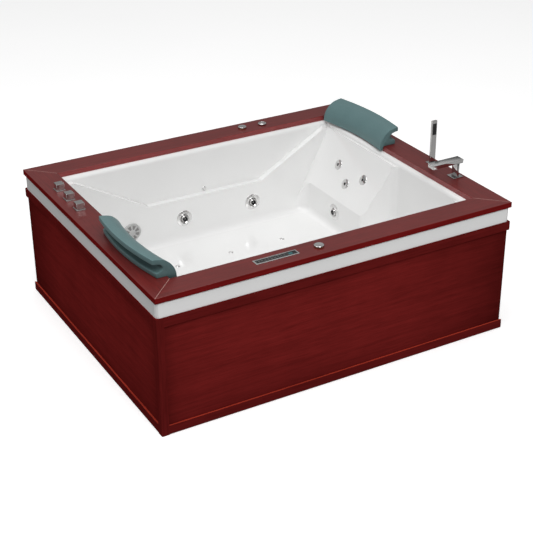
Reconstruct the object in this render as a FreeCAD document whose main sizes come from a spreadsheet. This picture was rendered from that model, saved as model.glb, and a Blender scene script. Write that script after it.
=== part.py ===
import FreeCAD, Part
import math
import os

import Sketcher

# A two-person jetted bathtub with a mitred wooden deck and panelled aprons.
# Millimetres. The origin is on the floor under the middle of the deck, +Z is up,
# +X runs along the length and -Y is the front. Seats, jets and pillows repeat
# by half a turn about the Z axis.

Vector = FreeCAD.Vector
Rotation = FreeCAD.Rotation
Placement = FreeCAD.Placement
X_AXIS = Vector(1, 0, 0)
Y_AXIS = Vector(0, 1, 0)
Z_AXIS = Vector(0, 0, 1)

SIZES = {
    # Deck boards
    "deck_length": 1800,
    "deck_width": 1500,
    "deck_top": 664,
    "deck_thick": 26,
    "board_width": 128,
    "board_round": 2.5,
    "mitre_gap": 0.6,
    # Acrylic shell
    "acrylic": 7,
    "lip_inset": 5.5,
    "lip_drop": 71,
    "lip_round": 10,
    "lip_corner": 18,
    "bead_height": 34,
    "rim_round": 22,
    "basin_floor": 172,
    "floor_round": 35,
    "corner_round": 60,
    "nose_round": 45,
    "seat_depth": 155,
    "seat_rise": 173,
    "seat_nose": 12,
    "seat_side": 50,
    "pocket_depth": 32,
    "pocket_rise": 228,
    "pocket_half": 325,
    # Aprons
    "apron_inset": 1,
    "apron_gap": 0.3,
    "rail_height": 43,
    "rail_thick": 20,
    "plinth_height": 42,
    "plinth_lift": 3,
    "panel_recess": 8,
    "panel_thick": 9,
    "groove_depth": 10,
    "post_size": 35,
    "post_round": 6,
    "batten_size": 30,
    # Steel frame and feet
    "tube_size": 30,
    "tube_wall": 2,
    "frame_inset": 110,
    "rim_tube": 25,
    "inner_rail": 200,
    "tray_thick": 3,
    "foot_radius": 26,
    "foot_height": 14,
    "foot_rod": 6,
    "foot_nut": 10,
    # Pillows
    "pillow_length": 500,
    "pillow_bow": 24,
    "pillow_mid": 350,
    "pillow_skew": 10,
    "pillow_rise": 88,
    "pillow_slab": 21,
    "pillow_foot": 22,
    "pillow_lip": 17,
    "pillow_reach": 99,
    "pillow_front": 10,
    # Taps
    "tap_first": 186,
    "tap_pitch": 122.5,
    "tap_plate": 45,
    "plate_thick": 6,
    "knob_size": 38.5,
    "knob_height": 30,
    "stem_radius": 6,
    "stem_length": 30,
    "shank_radius": 11,
    "valve_size": 38,
    "valve_height": 46,
    "tail_radius": 10.5,
    "tail_length": 22,
    # Hand shower and spout
    "filler_inset": 47,
    "shower_y": 198,
    "shower_width": 30,
    "shower_thick": 12,
    "shower_length": 216,
    "shower_tail": 8,
    "tail_depth": 60,
    "sleeve_wall": 4,
    "spray_width": 22,
    "spray_length": 58,
    "spray_thick": 1.5,
    "spout_y": 384,
    "spout_plate": 56,
    "spout_post": 13,
    "spout_rise": 66,
    "arm_over": 26,
    "arm_length": 173,
    "arm_width": 48,
    "arm_thick": 20,
    # Air knobs, push button and control panel
    "dial_radius": 22.5,
    "dial_height": 8,
    "dial_stem": 4,
    "back_dial_x": 280,
    "front_dial_x": 97,
    "dial_inset": 64,
    "button_x": 395,
    "button_radius": 15,
    "button_travel": 4,
    "bezel_height": 9,
    "panel_x": 306,
    "control_length": 210,
    "control_width": 40,
    "control_flange": 3,
    "control_depth": 26,
    "control_border": 7,
    "display_length": 42,
    "key_columns": 8,
    "key_pitch": 15,
    # Jets
    "jet_left": 131,
    "jet_right": 271,
    "jet_rise": 117,
    "end_jet_y": 273,
    "end_jet_rise": 99,
    "jet_radius": 43,
    "jet_hole": 23,
    "jet_depth": 62,
    "ball_radius": 21,
    "back_jet_y": 244,
    "back_jet_spread": 116,
    "back_jet_high": 165,
    "back_jet_low": 98,
    "small_radius": 27,
    "small_hole": 17,
    "small_depth": 45,
    "air_jet_x": 300,
    "air_jet_y": 310,
    "air_jet_radius": 12.5,
    "air_jet_hole": 8,
    "air_jet_depth": 70,
    # Suction, level sensor and waste
    "suction_x": 427,
    "suction_rise": 110,
    "suction_radius": 48.5,
    "suction_hole": 32,
    "suction_depth": 90,
    "sensor_x": 3,
    "sensor_rise": 242,
    "sensor_radius": 12,
    "sensor_hole": 7,
    "drain_radius": 35,
    "drain_hole": 27,
    "plug_radius": 22,
    "plug_lift": 10,
    "outlet_radius": 20,
    "outlet_length": 26,
    "outlet_height": 60,
    "overflow_rise": 300,
    "overflow_radius": 36,
    "overflow_hole": 25,
    "overflow_pipe": 16,
    # Pump, blower, control box and pipes
    "volute_radius": 85,
    "volute_length": 65,
    "motor_radius": 66,
    "motor_length": 200,
    "pump_end": 90,
    "pump_setback": 56,
    "pipe_radius": 20,
    "main_radius": 16,
    "branch_radius": 11,
    "main_rise": 64,
    "air_radius": 8,
    "blower_end": 100,
    "blower_side": 190,
    "blower_radius": 76,
    "blower_height": 125,
    "blower_outlet": 14,
    "box_length": 150,
    "box_width": 170,
    "box_height": 80,
    "box_y": 150,
    "gland_radius": 5,
    "gland_length": 14,
    # Clearance between neighbouring pieces
    "play": 0.3,
}

doc = FreeCAD.newDocument("jetted_bathtub")
sheet = doc.addObject("Spreadsheet::Sheet", "Sizes")
for row, (alias, number) in enumerate(SIZES.items(), start=1):
    sheet.set(f"A{row}", alias)
    sheet.set(f"B{row}", str(number))
    sheet.setAlias(f"B{row}", alias)
doc.recompute()


def text_of(size):
    """The expression text of a size or of a plain number."""
    return size.text if isinstance(size, Size) else repr(float(size))


class Size:
    """A length that carries its number and the sheet expression behind it."""

    def __init__(self, value, text):
        self.value = float(value)
        self.text = text

    def __float__(self):
        return self.value

    def __add__(self, other):
        return Size(self.value + float(other), f"({self.text} + {text_of(other)})")

    def __radd__(self, other):
        return Size(float(other) + self.value, f"({text_of(other)} + {self.text})")

    def __sub__(self, other):
        return Size(self.value - float(other), f"({self.text} - {text_of(other)})")

    def __rsub__(self, other):
        return Size(float(other) - self.value, f"({text_of(other)} - {self.text})")

    def __mul__(self, other):
        return Size(self.value * float(other), f"({self.text} * {text_of(other)})")

    def __rmul__(self, other):
        return Size(float(other) * self.value, f"({text_of(other)} * {self.text})")

    def __truediv__(self, other):
        return Size(self.value / float(other), f"({self.text} / {text_of(other)})")

    def __neg__(self):
        return Size(-self.value, f"(0 - {self.text})")


class Sheet:
    """The driving dimensions by name."""


d = Sheet()
for alias in SIZES:
    setattr(d, alias, Size(sheet.get(alias), "Sizes." + alias))

nodes = []


# Document helpers

def bind(thing, name, size):
    thing.setExpression(name, text_of(size))


def place(thing, x=0, y=0, z=0):
    for axis, size in zip("xyz", (x, y, z)):
        bind(thing, "Placement.Base." + axis, size)


def keep(thing):
    nodes.append(thing)
    return thing


def new_body(label):
    made = doc.addObject("PartDesign::Body", label)
    made.Label = label
    return made


def new_sketch(owner, role="XY_Plane", lift=0):
    made = owner.newObject("Sketcher::SketchObject", owner.Name + "_sketch")
    plane = next(item for item in owner.Origin.OriginFeatures if item.Role == role)
    made.AttachmentSupport = [(plane, "")]
    made.MapMode = "FlatFace"
    bind(made, "AttachmentOffset.Base.z", lift)
    return made


def pin_point(sketch, geometry, point, x, y):
    for kind, size in (("DistanceX", x), ("DistanceY", y)):
        index = sketch.addConstraint(Sketcher.Constraint(kind, geometry, point, float(size)))
        bind(sketch, f"Constraints[{index}]", size)


def add_outline(sketch, corners):
    """A closed run of lines with every corner pinned to its sizes."""
    first = sketch.GeometryCount
    points = [Vector(float(x), float(y), 0) for x, y in corners]
    sides = zip(points, points[1:] + points[:1])
    sketch.addGeometry([Part.LineSegment(here, there) for here, there in sides], False)
    joined = []
    pins = []
    for step, (x, y) in enumerate(corners):
        here = first + step
        after = first + (step + 1) % len(corners)
        joined.append(Sketcher.Constraint("Coincident", here, 2, after, 1))
        pins.append(("DistanceX", here, x))
        pins.append(("DistanceY", here, y))
    sketch.addConstraint(joined)
    count = sketch.ConstraintCount
    sketch.addConstraint([Sketcher.Constraint(kind, line, 1, float(size)) for kind, line, size in pins])
    for index, (kind, line, size) in enumerate(pins, start=count):
        bind(sketch, f"Constraints[{index}]", size)


def add_circle(sketch, x, y, radius):
    index = sketch.addGeometry(Part.Circle(Vector(float(x), float(y), 0), Z_AXIS, float(radius)), False)
    pin_point(sketch, index, 3, x, y)
    size = sketch.addConstraint(Sketcher.Constraint("Radius", index, float(radius)))
    bind(sketch, f"Constraints[{size}]", radius)


def pad(owner, sketch, length, back=False):
    made = owner.newObject("PartDesign::Pad", owner.Name + "_pad")
    made.Profile = sketch
    made.Reversed = back
    bind(made, "Length", length)


def carve(owner, sketch, depth, back=False):
    """A pocket, with a test that it took material away."""
    doc.recompute()
    before = owner.Tip.Shape.Volume
    made = owner.newObject("PartDesign::Pocket", owner.Name + "_pocket")
    made.Profile = sketch
    made.Reversed = back
    bind(made, "Length", depth)
    doc.recompute()
    if made.Shape.Volume >= before:
        raise ValueError("pocket cuts nothing in " + owner.Label)


def revolve(owner, sketch):
    made = owner.newObject("PartDesign::Revolution", owner.Name + "_turn")
    made.Profile = sketch
    made.ReferenceAxis = (sketch, ["V_Axis"])
    made.Angle = 360


def soften(owner, radius, wanted):
    """A fillet on the edges of the body's tip that pass a test."""
    doc.recompute()
    base = owner.Tip
    names = [f"Edge{i}" for i, edge in enumerate(base.Shape.Edges, start=1) if wanted(edge)]
    made = owner.newObject("PartDesign::Fillet", owner.Name + "_round")
    made.Base = (base, names)
    bind(made, "Radius", radius)


def level(height):
    """A test for edges that lie flat at one height."""
    return lambda edge: all(abs(corner.Point.z - float(height)) < 1e-5 for corner in edge.Vertexes)


def upright(edge):
    """A test for straight vertical edges."""
    box = edge.BoundBox
    return box.XLength + box.YLength < 1e-5


def rectangle(x0, x1, y0, y1):
    return [(x0, y0), (x1, y0), (x1, y1), (x0, y1)]


def square(size):
    return rectangle(-size / 2, size / 2, -size / 2, size / 2)


def prism(label, corners, low, high):
    """A body padded upwards from one height to another."""
    made = new_body(label)
    sketch = new_sketch(made, "XY_Plane", low)
    add_outline(sketch, corners)
    pad(made, sketch, high - low)
    return made


def turned(label, profile):
    """A body of revolution about its own Z axis, from radius and height pairs."""
    made = new_body(label)
    sketch = new_sketch(made, "XZ_Plane")
    add_outline(sketch, profile)
    revolve(made, sketch)
    return made


def add_rod(owner, radius, low, high, x=0, y=0):
    """A round pad along the body's Z axis."""
    sketch = new_sketch(owner, "XY_Plane", low)
    add_circle(sketch, x, y, radius)
    pad(owner, sketch, high - low)


def drill(owner, radius, top, depth, x=0, y=0):
    """A round pocket downwards from one height."""
    sketch = new_sketch(owner, "XY_Plane", top)
    add_circle(sketch, x, y, radius)
    carve(owner, sketch, depth)


def ngon(radius, sides, x=0, y=0):
    """The corners of a regular polygon with flats square to the axes."""
    turns = [2 * math.pi * (step + 0.5) / sides for step in range(sides)]
    return [(x + radius * math.cos(turn), y + radius * math.sin(turn)) for turn in turns]


def around(radius, sides):
    """The corner radius of a polygon whose flats clear a round of this radius."""
    return radius / math.cos(math.pi / sides)


def add_prism(owner, radius, low, high, sides=8):
    """A polygonal pad along the body's Z axis."""
    sketch = new_sketch(owner, "XY_Plane", low)
    add_outline(sketch, ngon(radius, sides))
    pad(owner, sketch, high - low)


def cut_prism(owner, radius, top, depth, sides=8, x=0, y=0):
    """A polygonal pocket downwards from one height."""
    sketch = new_sketch(owner, "XY_Plane", top)
    add_outline(sketch, ngon(radius, sides, x, y))
    carve(owner, sketch, depth)


def side_prism(owner, radius, height, length, back=False, sides=8):
    """A polygonal pad square to the body's XZ plane."""
    sketch = new_sketch(owner, "XZ_Plane")
    add_outline(sketch, ngon(radius, sides, 0, height))
    pad(owner, sketch, length, back)


def bevel(owner, size, wanted):
    """A chamfer on the edges of the body's tip that pass a test."""
    doc.recompute()
    base = owner.Tip
    names = [f"Edge{i}" for i, edge in enumerate(base.Shape.Edges, start=1) if wanted(edge)]
    made = owner.newObject("PartDesign::Chamfer", owner.Name + "_bevel")
    made.Base = (base, names)
    bind(made, "Size", size)


def side_rod(owner, role, radius, across, height, length, back=False):
    """A round pad square to one of the body's upright planes."""
    sketch = new_sketch(owner, role)
    add_circle(sketch, across, height, radius)
    pad(owner, sketch, length, back)


def group(label, pattern, spots):
    """One node of separate, identical solids."""
    doc.recompute()
    solids = []
    for spot in spots:
        solid = pattern.Shape.copy()
        solid.Placement = spot.multiply(solid.Placement)
        solids.append(solid)
    made = doc.addObject("Part::Feature", label)
    made.Label = label
    made.Shape = Part.makeCompound(solids)
    return keep(made)


def feature(label, shape):
    made = doc.addObject("Part::Feature", label)
    made.Label = label
    made.Shape = shape
    return keep(made)


def point(x, y, z):
    return Vector(float(x), float(y), float(z))


def spot(x, y, z, turn=Rotation()):
    return Placement(point(x, y, z), turn)


def block(x0, x1, y0, y1, z0, z1):
    low = point(x0, y0, z0)
    size = point(x1, y1, z1) - low
    return Part.makeBox(size.x, size.y, size.z, low)


def rod(radius, start, axis, length):
    return Part.makeCylinder(float(radius), float(length), start, axis)


def flat_face(corners):
    return Part.Face(Part.makePolygon(corners + corners[:1]))


def solid_of_rings(rings):
    """A solid whose flat sides join a row of rings of equal corner count."""
    faces = [flat_face(rings[0]), flat_face(rings[-1])]
    for near, far in zip(rings, rings[1:]):
        faces += [flat_face([near[k - 1], near[k], far[k], far[k - 1]]) for k in range(len(near))]
    skin = Part.makeShell(faces)
    skin.sewShape()
    solid = Part.makeSolid(skin)
    if solid.Volume < 0:
        solid.reverse()
    return solid


HALF_TURN = Placement(Vector(), Rotation(Z_AXIS, 180))


def opposite(where):
    """The same place after half a turn about the tub's upright axis."""
    return HALF_TURN.multiply(where)


# Places that several pieces share

half_x = d.deck_length / 2
half_y = d.deck_width / 2
inner_x = half_x - d.board_width
inner_y = half_y - d.board_width
rim_top = d.deck_top - d.deck_thick
rim_low = rim_top - d.acrylic
lip_low = rim_top - d.lip_drop
wall_x = inner_x - d.rim_round
wall_y = inner_y - d.rim_round
side_y = wall_y - d.pocket_depth
seat_x = wall_x - d.seat_depth
seat_z = d.basin_floor + d.seat_rise
pocket_z = d.basin_floor + d.pocket_rise
board_mid_x = half_x - d.board_width / 2
frame_top = d.basin_floor - d.acrylic
frame_low = frame_top - d.tube_size
frame_x = half_x - d.frame_inset
frame_y = half_y - d.frame_inset
pump_x = frame_x - d.pump_end
pump_y = side_y - d.pump_setback
blower_x = frame_x - d.blower_end
blower_y = frame_y - d.blower_side
jet_z = d.basin_floor + d.jet_rise
end_jet_z = d.basin_floor + d.end_jet_rise
gland_size = d.gland_radius * 2
dial_y = half_y - d.dial_inset
control_y = half_y - d.board_width / 2 - 4
filler_x = half_x - d.filler_inset
overflow_z = d.basin_floor + d.overflow_rise
seat_lean = math.degrees(math.atan2(float(d.seat_depth), float(rim_top - seat_z)))

TO_BACK_WALL = Rotation(X_AXIS, 90)
TO_END_WALL = Rotation(Z_AXIS, -90).multiply(TO_BACK_WALL)
TO_SEAT_BACK = Rotation(Y_AXIS, seat_lean).multiply(TO_END_WALL)


def on_seat_back(y, along):
    """A place on the reclined seat back, a distance up its slope from the crease."""
    lean = math.radians(seat_lean)
    x = seat_x + float(along) * math.sin(lean)
    z = seat_z + float(along) * math.cos(lean)
    return spot(x, y, z, TO_SEAT_BACK)


def with_opposites(spots):
    return spots + [opposite(where) for where in spots]


jet_spots = with_opposites([
    spot(-d.jet_left, side_y, jet_z, TO_BACK_WALL),
    spot(d.jet_right, side_y, jet_z, TO_BACK_WALL),
    spot(seat_x, d.end_jet_y, end_jet_z, TO_END_WALL),
])
JET_NAMES = ["back_left", "back_right", "right_end", "front_right", "front_left", "left_end"]
small_jet_spots = with_opposites([
    on_seat_back(d.back_jet_y + d.back_jet_spread, d.back_jet_high),
    on_seat_back(d.back_jet_y, d.back_jet_low),
    on_seat_back(d.back_jet_y - d.back_jet_spread, d.back_jet_high),
])
air_jet_spots = [
    spot(x, y, d.basin_floor)
    for y in (d.air_jet_y, -d.air_jet_y)
    for x in (-d.air_jet_x, 0, d.air_jet_x)
]
suction_spot = spot(-d.suction_x, side_y, d.basin_floor + d.suction_rise, TO_BACK_WALL)
sensor_spot = spot(d.sensor_x, wall_y, d.basin_floor + d.sensor_rise, TO_BACK_WALL)
overflow_spot = opposite(spot(0, wall_y, overflow_z, TO_BACK_WALL))
drain_spot = spot(0, 0, d.basin_floor)
tap_places = [(-board_mid_x, d.tap_first + d.tap_pitch * step) for step in range(3)]
shower_place = (filler_x, -d.shower_y)
spout_place = (filler_x, -d.spout_y)
back_dial = (d.back_dial_x, dial_y)
front_dial = (-d.front_dial_x, -dial_y)
button_place = (d.button_x, dial_y - 8)
control_place = (-d.panel_x, -control_y)
shank_hole = d.shank_radius + d.play
control_hole = (d.control_length - 2 * d.control_border, d.control_width - 2 * d.control_border)


# Acrylic shell

def rounded_outline(corners, radii, height):
    """A closed wire of straight runs joined by tangent arcs."""
    points = [Vector(x, y, height) for x, y in corners]
    arcs = []
    for index, corner in enumerate(points):
        back = (points[index - 1] - corner).normalize()
        ahead = (points[(index + 1) % len(points)] - corner).normalize()
        half = back.getAngle(ahead) / 2
        radius = radii[index]
        middle = corner + (back + ahead).normalize() * (radius / math.sin(half) - radius)
        reach = radius / math.tan(half)
        arcs.append((corner + back * reach, middle, corner + ahead * reach))
    edges = []
    for index, (start, middle, end) in enumerate(arcs):
        edges.append(Part.Arc(start, middle, end).toShape())
        edges.append(Part.LineSegment(end, arcs[(index + 1) % len(arcs)][0]).toShape())
    return Part.Wire(edges)


def upright_slab(outline, y0, y1):
    """A solid with an outline in X and Z, from one Y to another."""
    corners = [point(x, y0, z) for x, z in outline]
    face = Part.Face(Part.makePolygon(corners + corners[:1]))
    return face.extrude(Vector(0, float(y1) - float(y0), 0))


def both_ends(shape, added):
    """The shape joined with an added solid and its half-turned twin."""
    return shape.fuse(added).fuse(added.rotated(Vector(), Z_AXIS, 180))


def basin(grow):
    """The space of the basin, grown outwards by a wall."""
    end, front, side = float(wall_x), float(seat_x), float(side_y)
    low = float(d.basin_floor) - grow
    ceiling = float(d.deck_top)
    half = [(-end, side), (front, side), (front, float(d.seat_nose)), (end, -float(d.seat_side))]
    corners = half + [(-x, -y) for x, y in half]
    radii = [float(size) for size in (d.corner_round, d.corner_round, d.nose_round, d.nose_round)] * 2
    plan = Part.Face(rounded_outline(corners, radii, low))
    if grow:
        plan = plan.makeOffset2D(grow)
    space = plan.extrude(Vector(0, 0, ceiling - low))
    floor_edges = [edge for edge in space.Edges if level(low)(edge)]
    if grow:
        space = space.makeChamfer(float(d.floor_round) * 0.5, floor_edges)
    else:
        space = space.makeFillet(float(d.floor_round), floor_edges)

    slope = float(rim_top - seat_z) / float(d.seat_depth)
    drop = grow * math.hypot(1, slope)
    crease = float(seat_z) + grow * slope - drop
    crown = crease + float(d.seat_depth) * slope
    before = front + grow - float(d.corner_round)
    below = crease - float(d.corner_round) * slope
    above_seat = [(before, below), (end + grow, crown), (end + grow, ceiling), (before, ceiling)]
    space = both_ends(space, upright_slab(above_seat, -float(d.seat_side) + 10, side + grow))

    foot = float(d.pocket_half)
    reach = end + grow - 2
    bottom = float(pocket_z) - grow
    shoulder = bottom + float(rim_top - pocket_z) * (reach - foot) / (end - foot)
    pocket = [(-foot, bottom), (foot, bottom), (reach, shoulder), (reach, ceiling)]
    pocket += [(-reach, ceiling), (-reach, shoulder)]
    return both_ends(space, upright_slab(pocket, side - 10, float(wall_y) + grow))


def rim_roll():
    """The space over the rolled edge between the basin walls and the rim."""
    low = rim_top - d.rim_round
    roll = block(-inner_x, inner_x, -inner_y, inner_y, low, d.deck_top)
    for sign in (1, -1):
        start = point(sign * inner_x, -inner_y, low)
        roll = roll.cut(rod(d.rim_round, start, Y_AXIS, 2 * inner_y))
        start = point(-inner_x, sign * inner_y, low)
        roll = roll.cut(rod(d.rim_round, start, X_AXIS, 2 * inner_x))
    return roll


def rim_and_lip():
    """The flat rim with its turned-down lip and the bead under the roll."""
    lip_x = half_x - d.lip_inset
    lip_y = half_y - d.lip_inset
    skin = block(-lip_x, lip_x, -lip_y, lip_y, lip_low, rim_top)
    skin = skin.makeFillet(float(d.lip_corner), [edge for edge in skin.Edges if upright(edge)])
    skin = skin.makeFillet(float(d.lip_round), [edge for edge in skin.Edges if level(rim_top)(edge)])
    inside_x = lip_x - d.acrylic
    inside_y = lip_y - d.acrylic
    hollow = block(-inside_x, inside_x, -inside_y, inside_y, lip_low, rim_low)
    corner = float(d.lip_corner) - float(d.acrylic)
    hollow = hollow.makeFillet(corner, [edge for edge in hollow.Edges if upright(edge)])
    bead = block(-inner_x, inner_x, -inner_y, inner_y, rim_top - d.bead_height, rim_top)
    return skin.cut(hollow).fuse(bead)


def wall_hole(where, radius, thick):
    """A drill through a wall, along the outward axis of a place on it."""
    axis = where.Rotation.multVec(Z_AXIS)
    deep = float(thick)
    return rod(radius, where.Base - axis * deep, axis, 2 * deep)


def flat_hole(where, radius, thick, sides=12):
    """A flat-sided hole through a wall, for a small fitting that covers it."""
    deep = float(thick)
    corners = [Vector(float(x), float(y), -deep) for x, y in ngon(around(radius, sides), sides)]
    hole = Part.Face(Part.makePolygon(corners + corners[:1])).extrude(Vector(0, 0, 2 * deep))
    hole.Placement = where
    return hole


def rim_window(places):
    """A window in the rim under a row of deck fittings."""
    margin = d.shank_radius + 2
    xs = [float(x) for x, y in places]
    ys = [float(y) for x, y in places]
    x0, x1 = min(xs) - margin, max(xs) + margin
    y0, y1 = min(ys) - margin, max(ys) + margin
    return block(x0, x1, y0, y1, rim_low - 1, d.deck_top)


def shell_holes():
    deep = 3 * d.acrylic
    holes = [flat_hole(where, d.jet_hole, deep) for where in jet_spots]
    holes += [flat_hole(where, d.small_hole, deep, 6) for where in small_jet_spots]
    holes += [flat_hole(where, d.air_jet_hole + d.play, deep, 6) for where in air_jet_spots]
    holes.append(flat_hole(suction_spot, d.suction_hole, deep))
    holes.append(flat_hole(sensor_spot, d.sensor_hole + d.play, deep, 6))
    holes.append(flat_hole(overflow_spot, d.overflow_hole, deep))
    holes.append(flat_hole(drain_spot, d.drain_hole, deep))
    for row in (tap_places, [shower_place], [spout_place], [back_dial], [front_dial], [button_place]):
        holes.append(rim_window(row))
    x, y = control_place
    length, width = control_hole
    holes.append(block(x - length / 2, x + length / 2, y - width / 2, y + width / 2, rim_low - 1, d.deck_top))
    return holes


def tub_shell():
    room = block(-half_x, half_x, -half_y, half_y, 0, rim_top)
    outer = rim_and_lip().fuse(basin(float(d.acrylic)).common(room))
    shell = outer.cut(basin(0)).cut(rim_roll())
    for hole in shell_holes():
        shell = shell.cut(hole)
    return feature("tub_shell", shell.removeSplitter())


# Wooden deck, four boards mitred at the corners

def deck_board(label, along, across, holes, cutout=None):
    """A mitred board, drawn as the front board and turned to its side."""
    gap = d.mitre_gap * 0.7071
    turn = {"front": 0, "right": 90, "back": 180, "left": 270}[label]
    outer = along - gap
    inner = along - d.board_width - gap
    corners = [(-outer, -across), (outer, -across), (inner, -across + d.board_width)]
    corners.append((-inner, -across + d.board_width))
    board = prism("deck_board_" + label, corners, rim_top, d.deck_top)
    for x, y in holes:
        cut_prism(board, around(shank_hole, 4), d.deck_top, d.deck_thick, 4, x, y)
    if cutout:
        sketch = new_sketch(board, "XY_Plane", d.deck_top)
        add_outline(sketch, cutout)
        carve(board, sketch, d.deck_thick)
    soften(board, d.board_round, lambda edge: edge.Length > float(along) and level(d.deck_top)(edge))
    board.Placement = Placement(Vector(), Rotation(Z_AXIS, turn))
    return keep(board)


def deck_boards():
    x, y = control_place
    length, width = control_hole
    cutout = rectangle(x - length / 2, x + length / 2, y - width / 2, y + width / 2)
    deck_board("front", half_x, half_y, [front_dial], cutout)
    deck_board("back", half_x, half_y, [(-x, -y) for x, y in (back_dial, button_place)])
    deck_board("right", half_y, half_x, [(y, -x) for x, y in (shower_place, spout_place)])
    deck_board("left", half_y, half_x, [(-y, x) for x, y in tap_places])


# Aprons: grooved top rail and plinth, a panel held in their grooves, a corner post

rail_top = lip_low - d.apron_gap
rail_low = rail_top - d.rail_height
plinth_top = d.plinth_lift + d.plinth_height
face_x = half_x - d.apron_inset
face_y = half_y - d.apron_inset


def apron_runs():
    """For each side: its turn, the distance of its face, and where its mouldings start and end."""
    return {
        "front": (0, face_y, -face_x + d.post_size, face_x),
        "right": (90, face_x, -face_y + d.rail_thick, face_y),
        "back": (180, face_y, -face_x + d.rail_thick, face_x - d.rail_thick),
        "left": (270, face_x, -face_y, face_y - d.post_size),
    }


def moulding(label, side, low, high, groove_up):
    """A rail or plinth with the groove that holds the panel's edge."""
    turn, face, start, end = apron_runs()[side]
    groove_in = -face + d.panel_recess - d.play
    groove_out = -face + d.panel_recess + d.panel_thick + d.play
    inside = -face + d.rail_thick
    if groove_up:
        floor = high - d.groove_depth
        profile = [(-face, low), (inside, low), (inside, high), (groove_out, high), (groove_out, floor)]
        profile += [(groove_in, floor), (groove_in, high), (-face, high)]
    else:
        roof = low + d.groove_depth
        profile = [(-face, low), (groove_in, low), (groove_in, roof), (groove_out, roof), (groove_out, low)]
        profile += [(inside, low), (inside, high), (-face, high)]
    made = new_body(label)
    sketch = new_sketch(made, "YZ_Plane", start)
    add_outline(sketch, profile)
    pad(made, sketch, end - start)
    made.Placement = Placement(Vector(), Rotation(Z_AXIS, turn))
    return made


def apron_panel(side):
    turn, face, start, end = apron_runs()[side]
    low = plinth_top - d.groove_depth + d.play
    high = rail_low + d.groove_depth - d.play
    free_end = d.panel_recess if side != "back" else d.play
    left = start + (free_end if side == "left" else d.play)
    right = end - (d.play if side in ("left", "back") else free_end)
    front = -face + d.panel_recess
    panel = prism("apron_panel_" + side, rectangle(left, right, front, front + d.panel_thick), low, high)
    panel.Placement = Placement(Vector(), Rotation(Z_AXIS, turn))
    return keep(panel)


def aprons():
    sides = list(apron_runs())
    rails = [moulding("rail_" + side, side, rail_low, rail_top, False) for side in sides]
    plinths = [moulding("plinth_" + side, side, d.plinth_lift, plinth_top, True) for side in sides]
    for label, pieces in (("top_rails", rails), ("plinths", plinths)):
        made = doc.addObject("Part::Compound", label)
        made.Label = label
        made.Links = pieces
        keep(made)
    for side in sides:
        apron_panel(side)
    corner_post()
    corner_battens()


def corner_post():
    """The proud post at the front left corner, standing on the floor."""
    outline = rectangle(-face_x, -face_x + d.post_size, -face_y, -face_y + d.post_size)
    post = prism("corner_post", outline, 0, rail_top)
    soften(post, d.post_round, lambda edge: upright(edge) and edge.Vertexes[0].Point.x < -float(face_x) + 1
           and edge.Vertexes[0].Point.y < -float(face_y) + 1)
    return keep(post)


def corner_battens():
    """Upright battens inside the other three corners, between the panels."""
    size = d.batten_size
    batten = prism("corner_batten", rectangle(-size, 0, -size, 0), d.plinth_lift, rail_top - d.rail_height)
    inset = d.rail_thick
    spots = [
        spot(face_x - inset, -face_y + inset + size, 0),
        spot(face_x - inset, face_y - inset, 0),
        spot(-face_x + inset + size, face_y - inset, 0),
    ]
    return group("corner_battens", batten, spots)


# Steel frame under the shell

def square_tube(name, low, high, wall, axis):
    """A hollow square tube between two corners, open at both ends along one axis."""
    outer = doc.addObject("Part::Box", name + "_outer")
    inner = doc.addObject("Part::Box", name + "_inner")
    sides = ("Length", "Width", "Height")
    for index, side in enumerate(sides):
        trim = 0 if side == axis else wall
        bind(outer, side, high[index] - low[index])
        bind(inner, side, high[index] - low[index] - 2 * trim)
        bind(outer, "Placement.Base." + "xyz"[index], low[index])
        bind(inner, "Placement.Base." + "xyz"[index], low[index] + trim)
    tube = doc.addObject("Part::Cut", name)
    tube.Base = outer
    tube.Tool = inner
    return tube


def compound(label, pieces):
    made = doc.addObject("Part::Compound", label)
    made.Label = label
    made.Links = pieces
    return keep(made)


def tray_window(tray, name, x, y, size):
    """The tray with a square window around one place."""
    window = doc.addObject("Part::Box", name)
    bind(window, "Length", size)
    bind(window, "Width", size)
    bind(window, "Height", 3 * d.tray_thick)
    place(window, x - size / 2, y - size / 2, frame_low - 2 * d.tray_thick)
    opened = doc.addObject("Part::Cut", name + "_tray")
    opened.Base = tray
    opened.Tool = window
    return opened


def outlet_tray(tray):
    """The left tray with windows for the blower's outlet and the control box's gland."""
    tray = tray_window(tray, "outlet_window", -blower_x, -blower_y, (d.blower_outlet + 3) * 2)
    return tray_window(tray, "gland_window", -pump_x, -d.box_y, (gland_size + 3) * 2)


def base_frame():
    half = d.tube_size / 2
    tubes = []
    for sign, name in ((-1, "front"), (1, "back")):
        y = sign * frame_y
        low = (-frame_x - half, y - half, frame_low)
        high = (frame_x + half, y + half, frame_top)
        tubes.append(square_tube("long_rail_" + name, low, high, d.tube_wall, "Length"))
    cross_places = [frame_x, seat_x, d.inner_rail]
    for index, place_x in enumerate(cross_places + [-place_x for place_x in cross_places]):
        low = (place_x - half, -frame_y + half, frame_low)
        high = (place_x + half, frame_y - half, frame_top)
        tubes.append(square_tube(f"cross_rail_{index}", low, high, d.tube_wall, "Width"))
    for sign, name in ((-1, "left"), (1, "right")):
        tray = doc.addObject("Part::Box", "tray_" + name)
        near = seat_x - half
        bind(tray, "Length", frame_x + half - near)
        bind(tray, "Width", frame_y - half)
        bind(tray, "Height", d.tray_thick)
        corner_x = near if sign > 0 else -frame_x - half
        corner_y = 0 if sign > 0 else half - frame_y
        place(tray, corner_x, corner_y, frame_low - d.tray_thick)
        tubes.append(tray if sign > 0 else outlet_tray(tray))
    return compound("base_frame", tubes)


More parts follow.
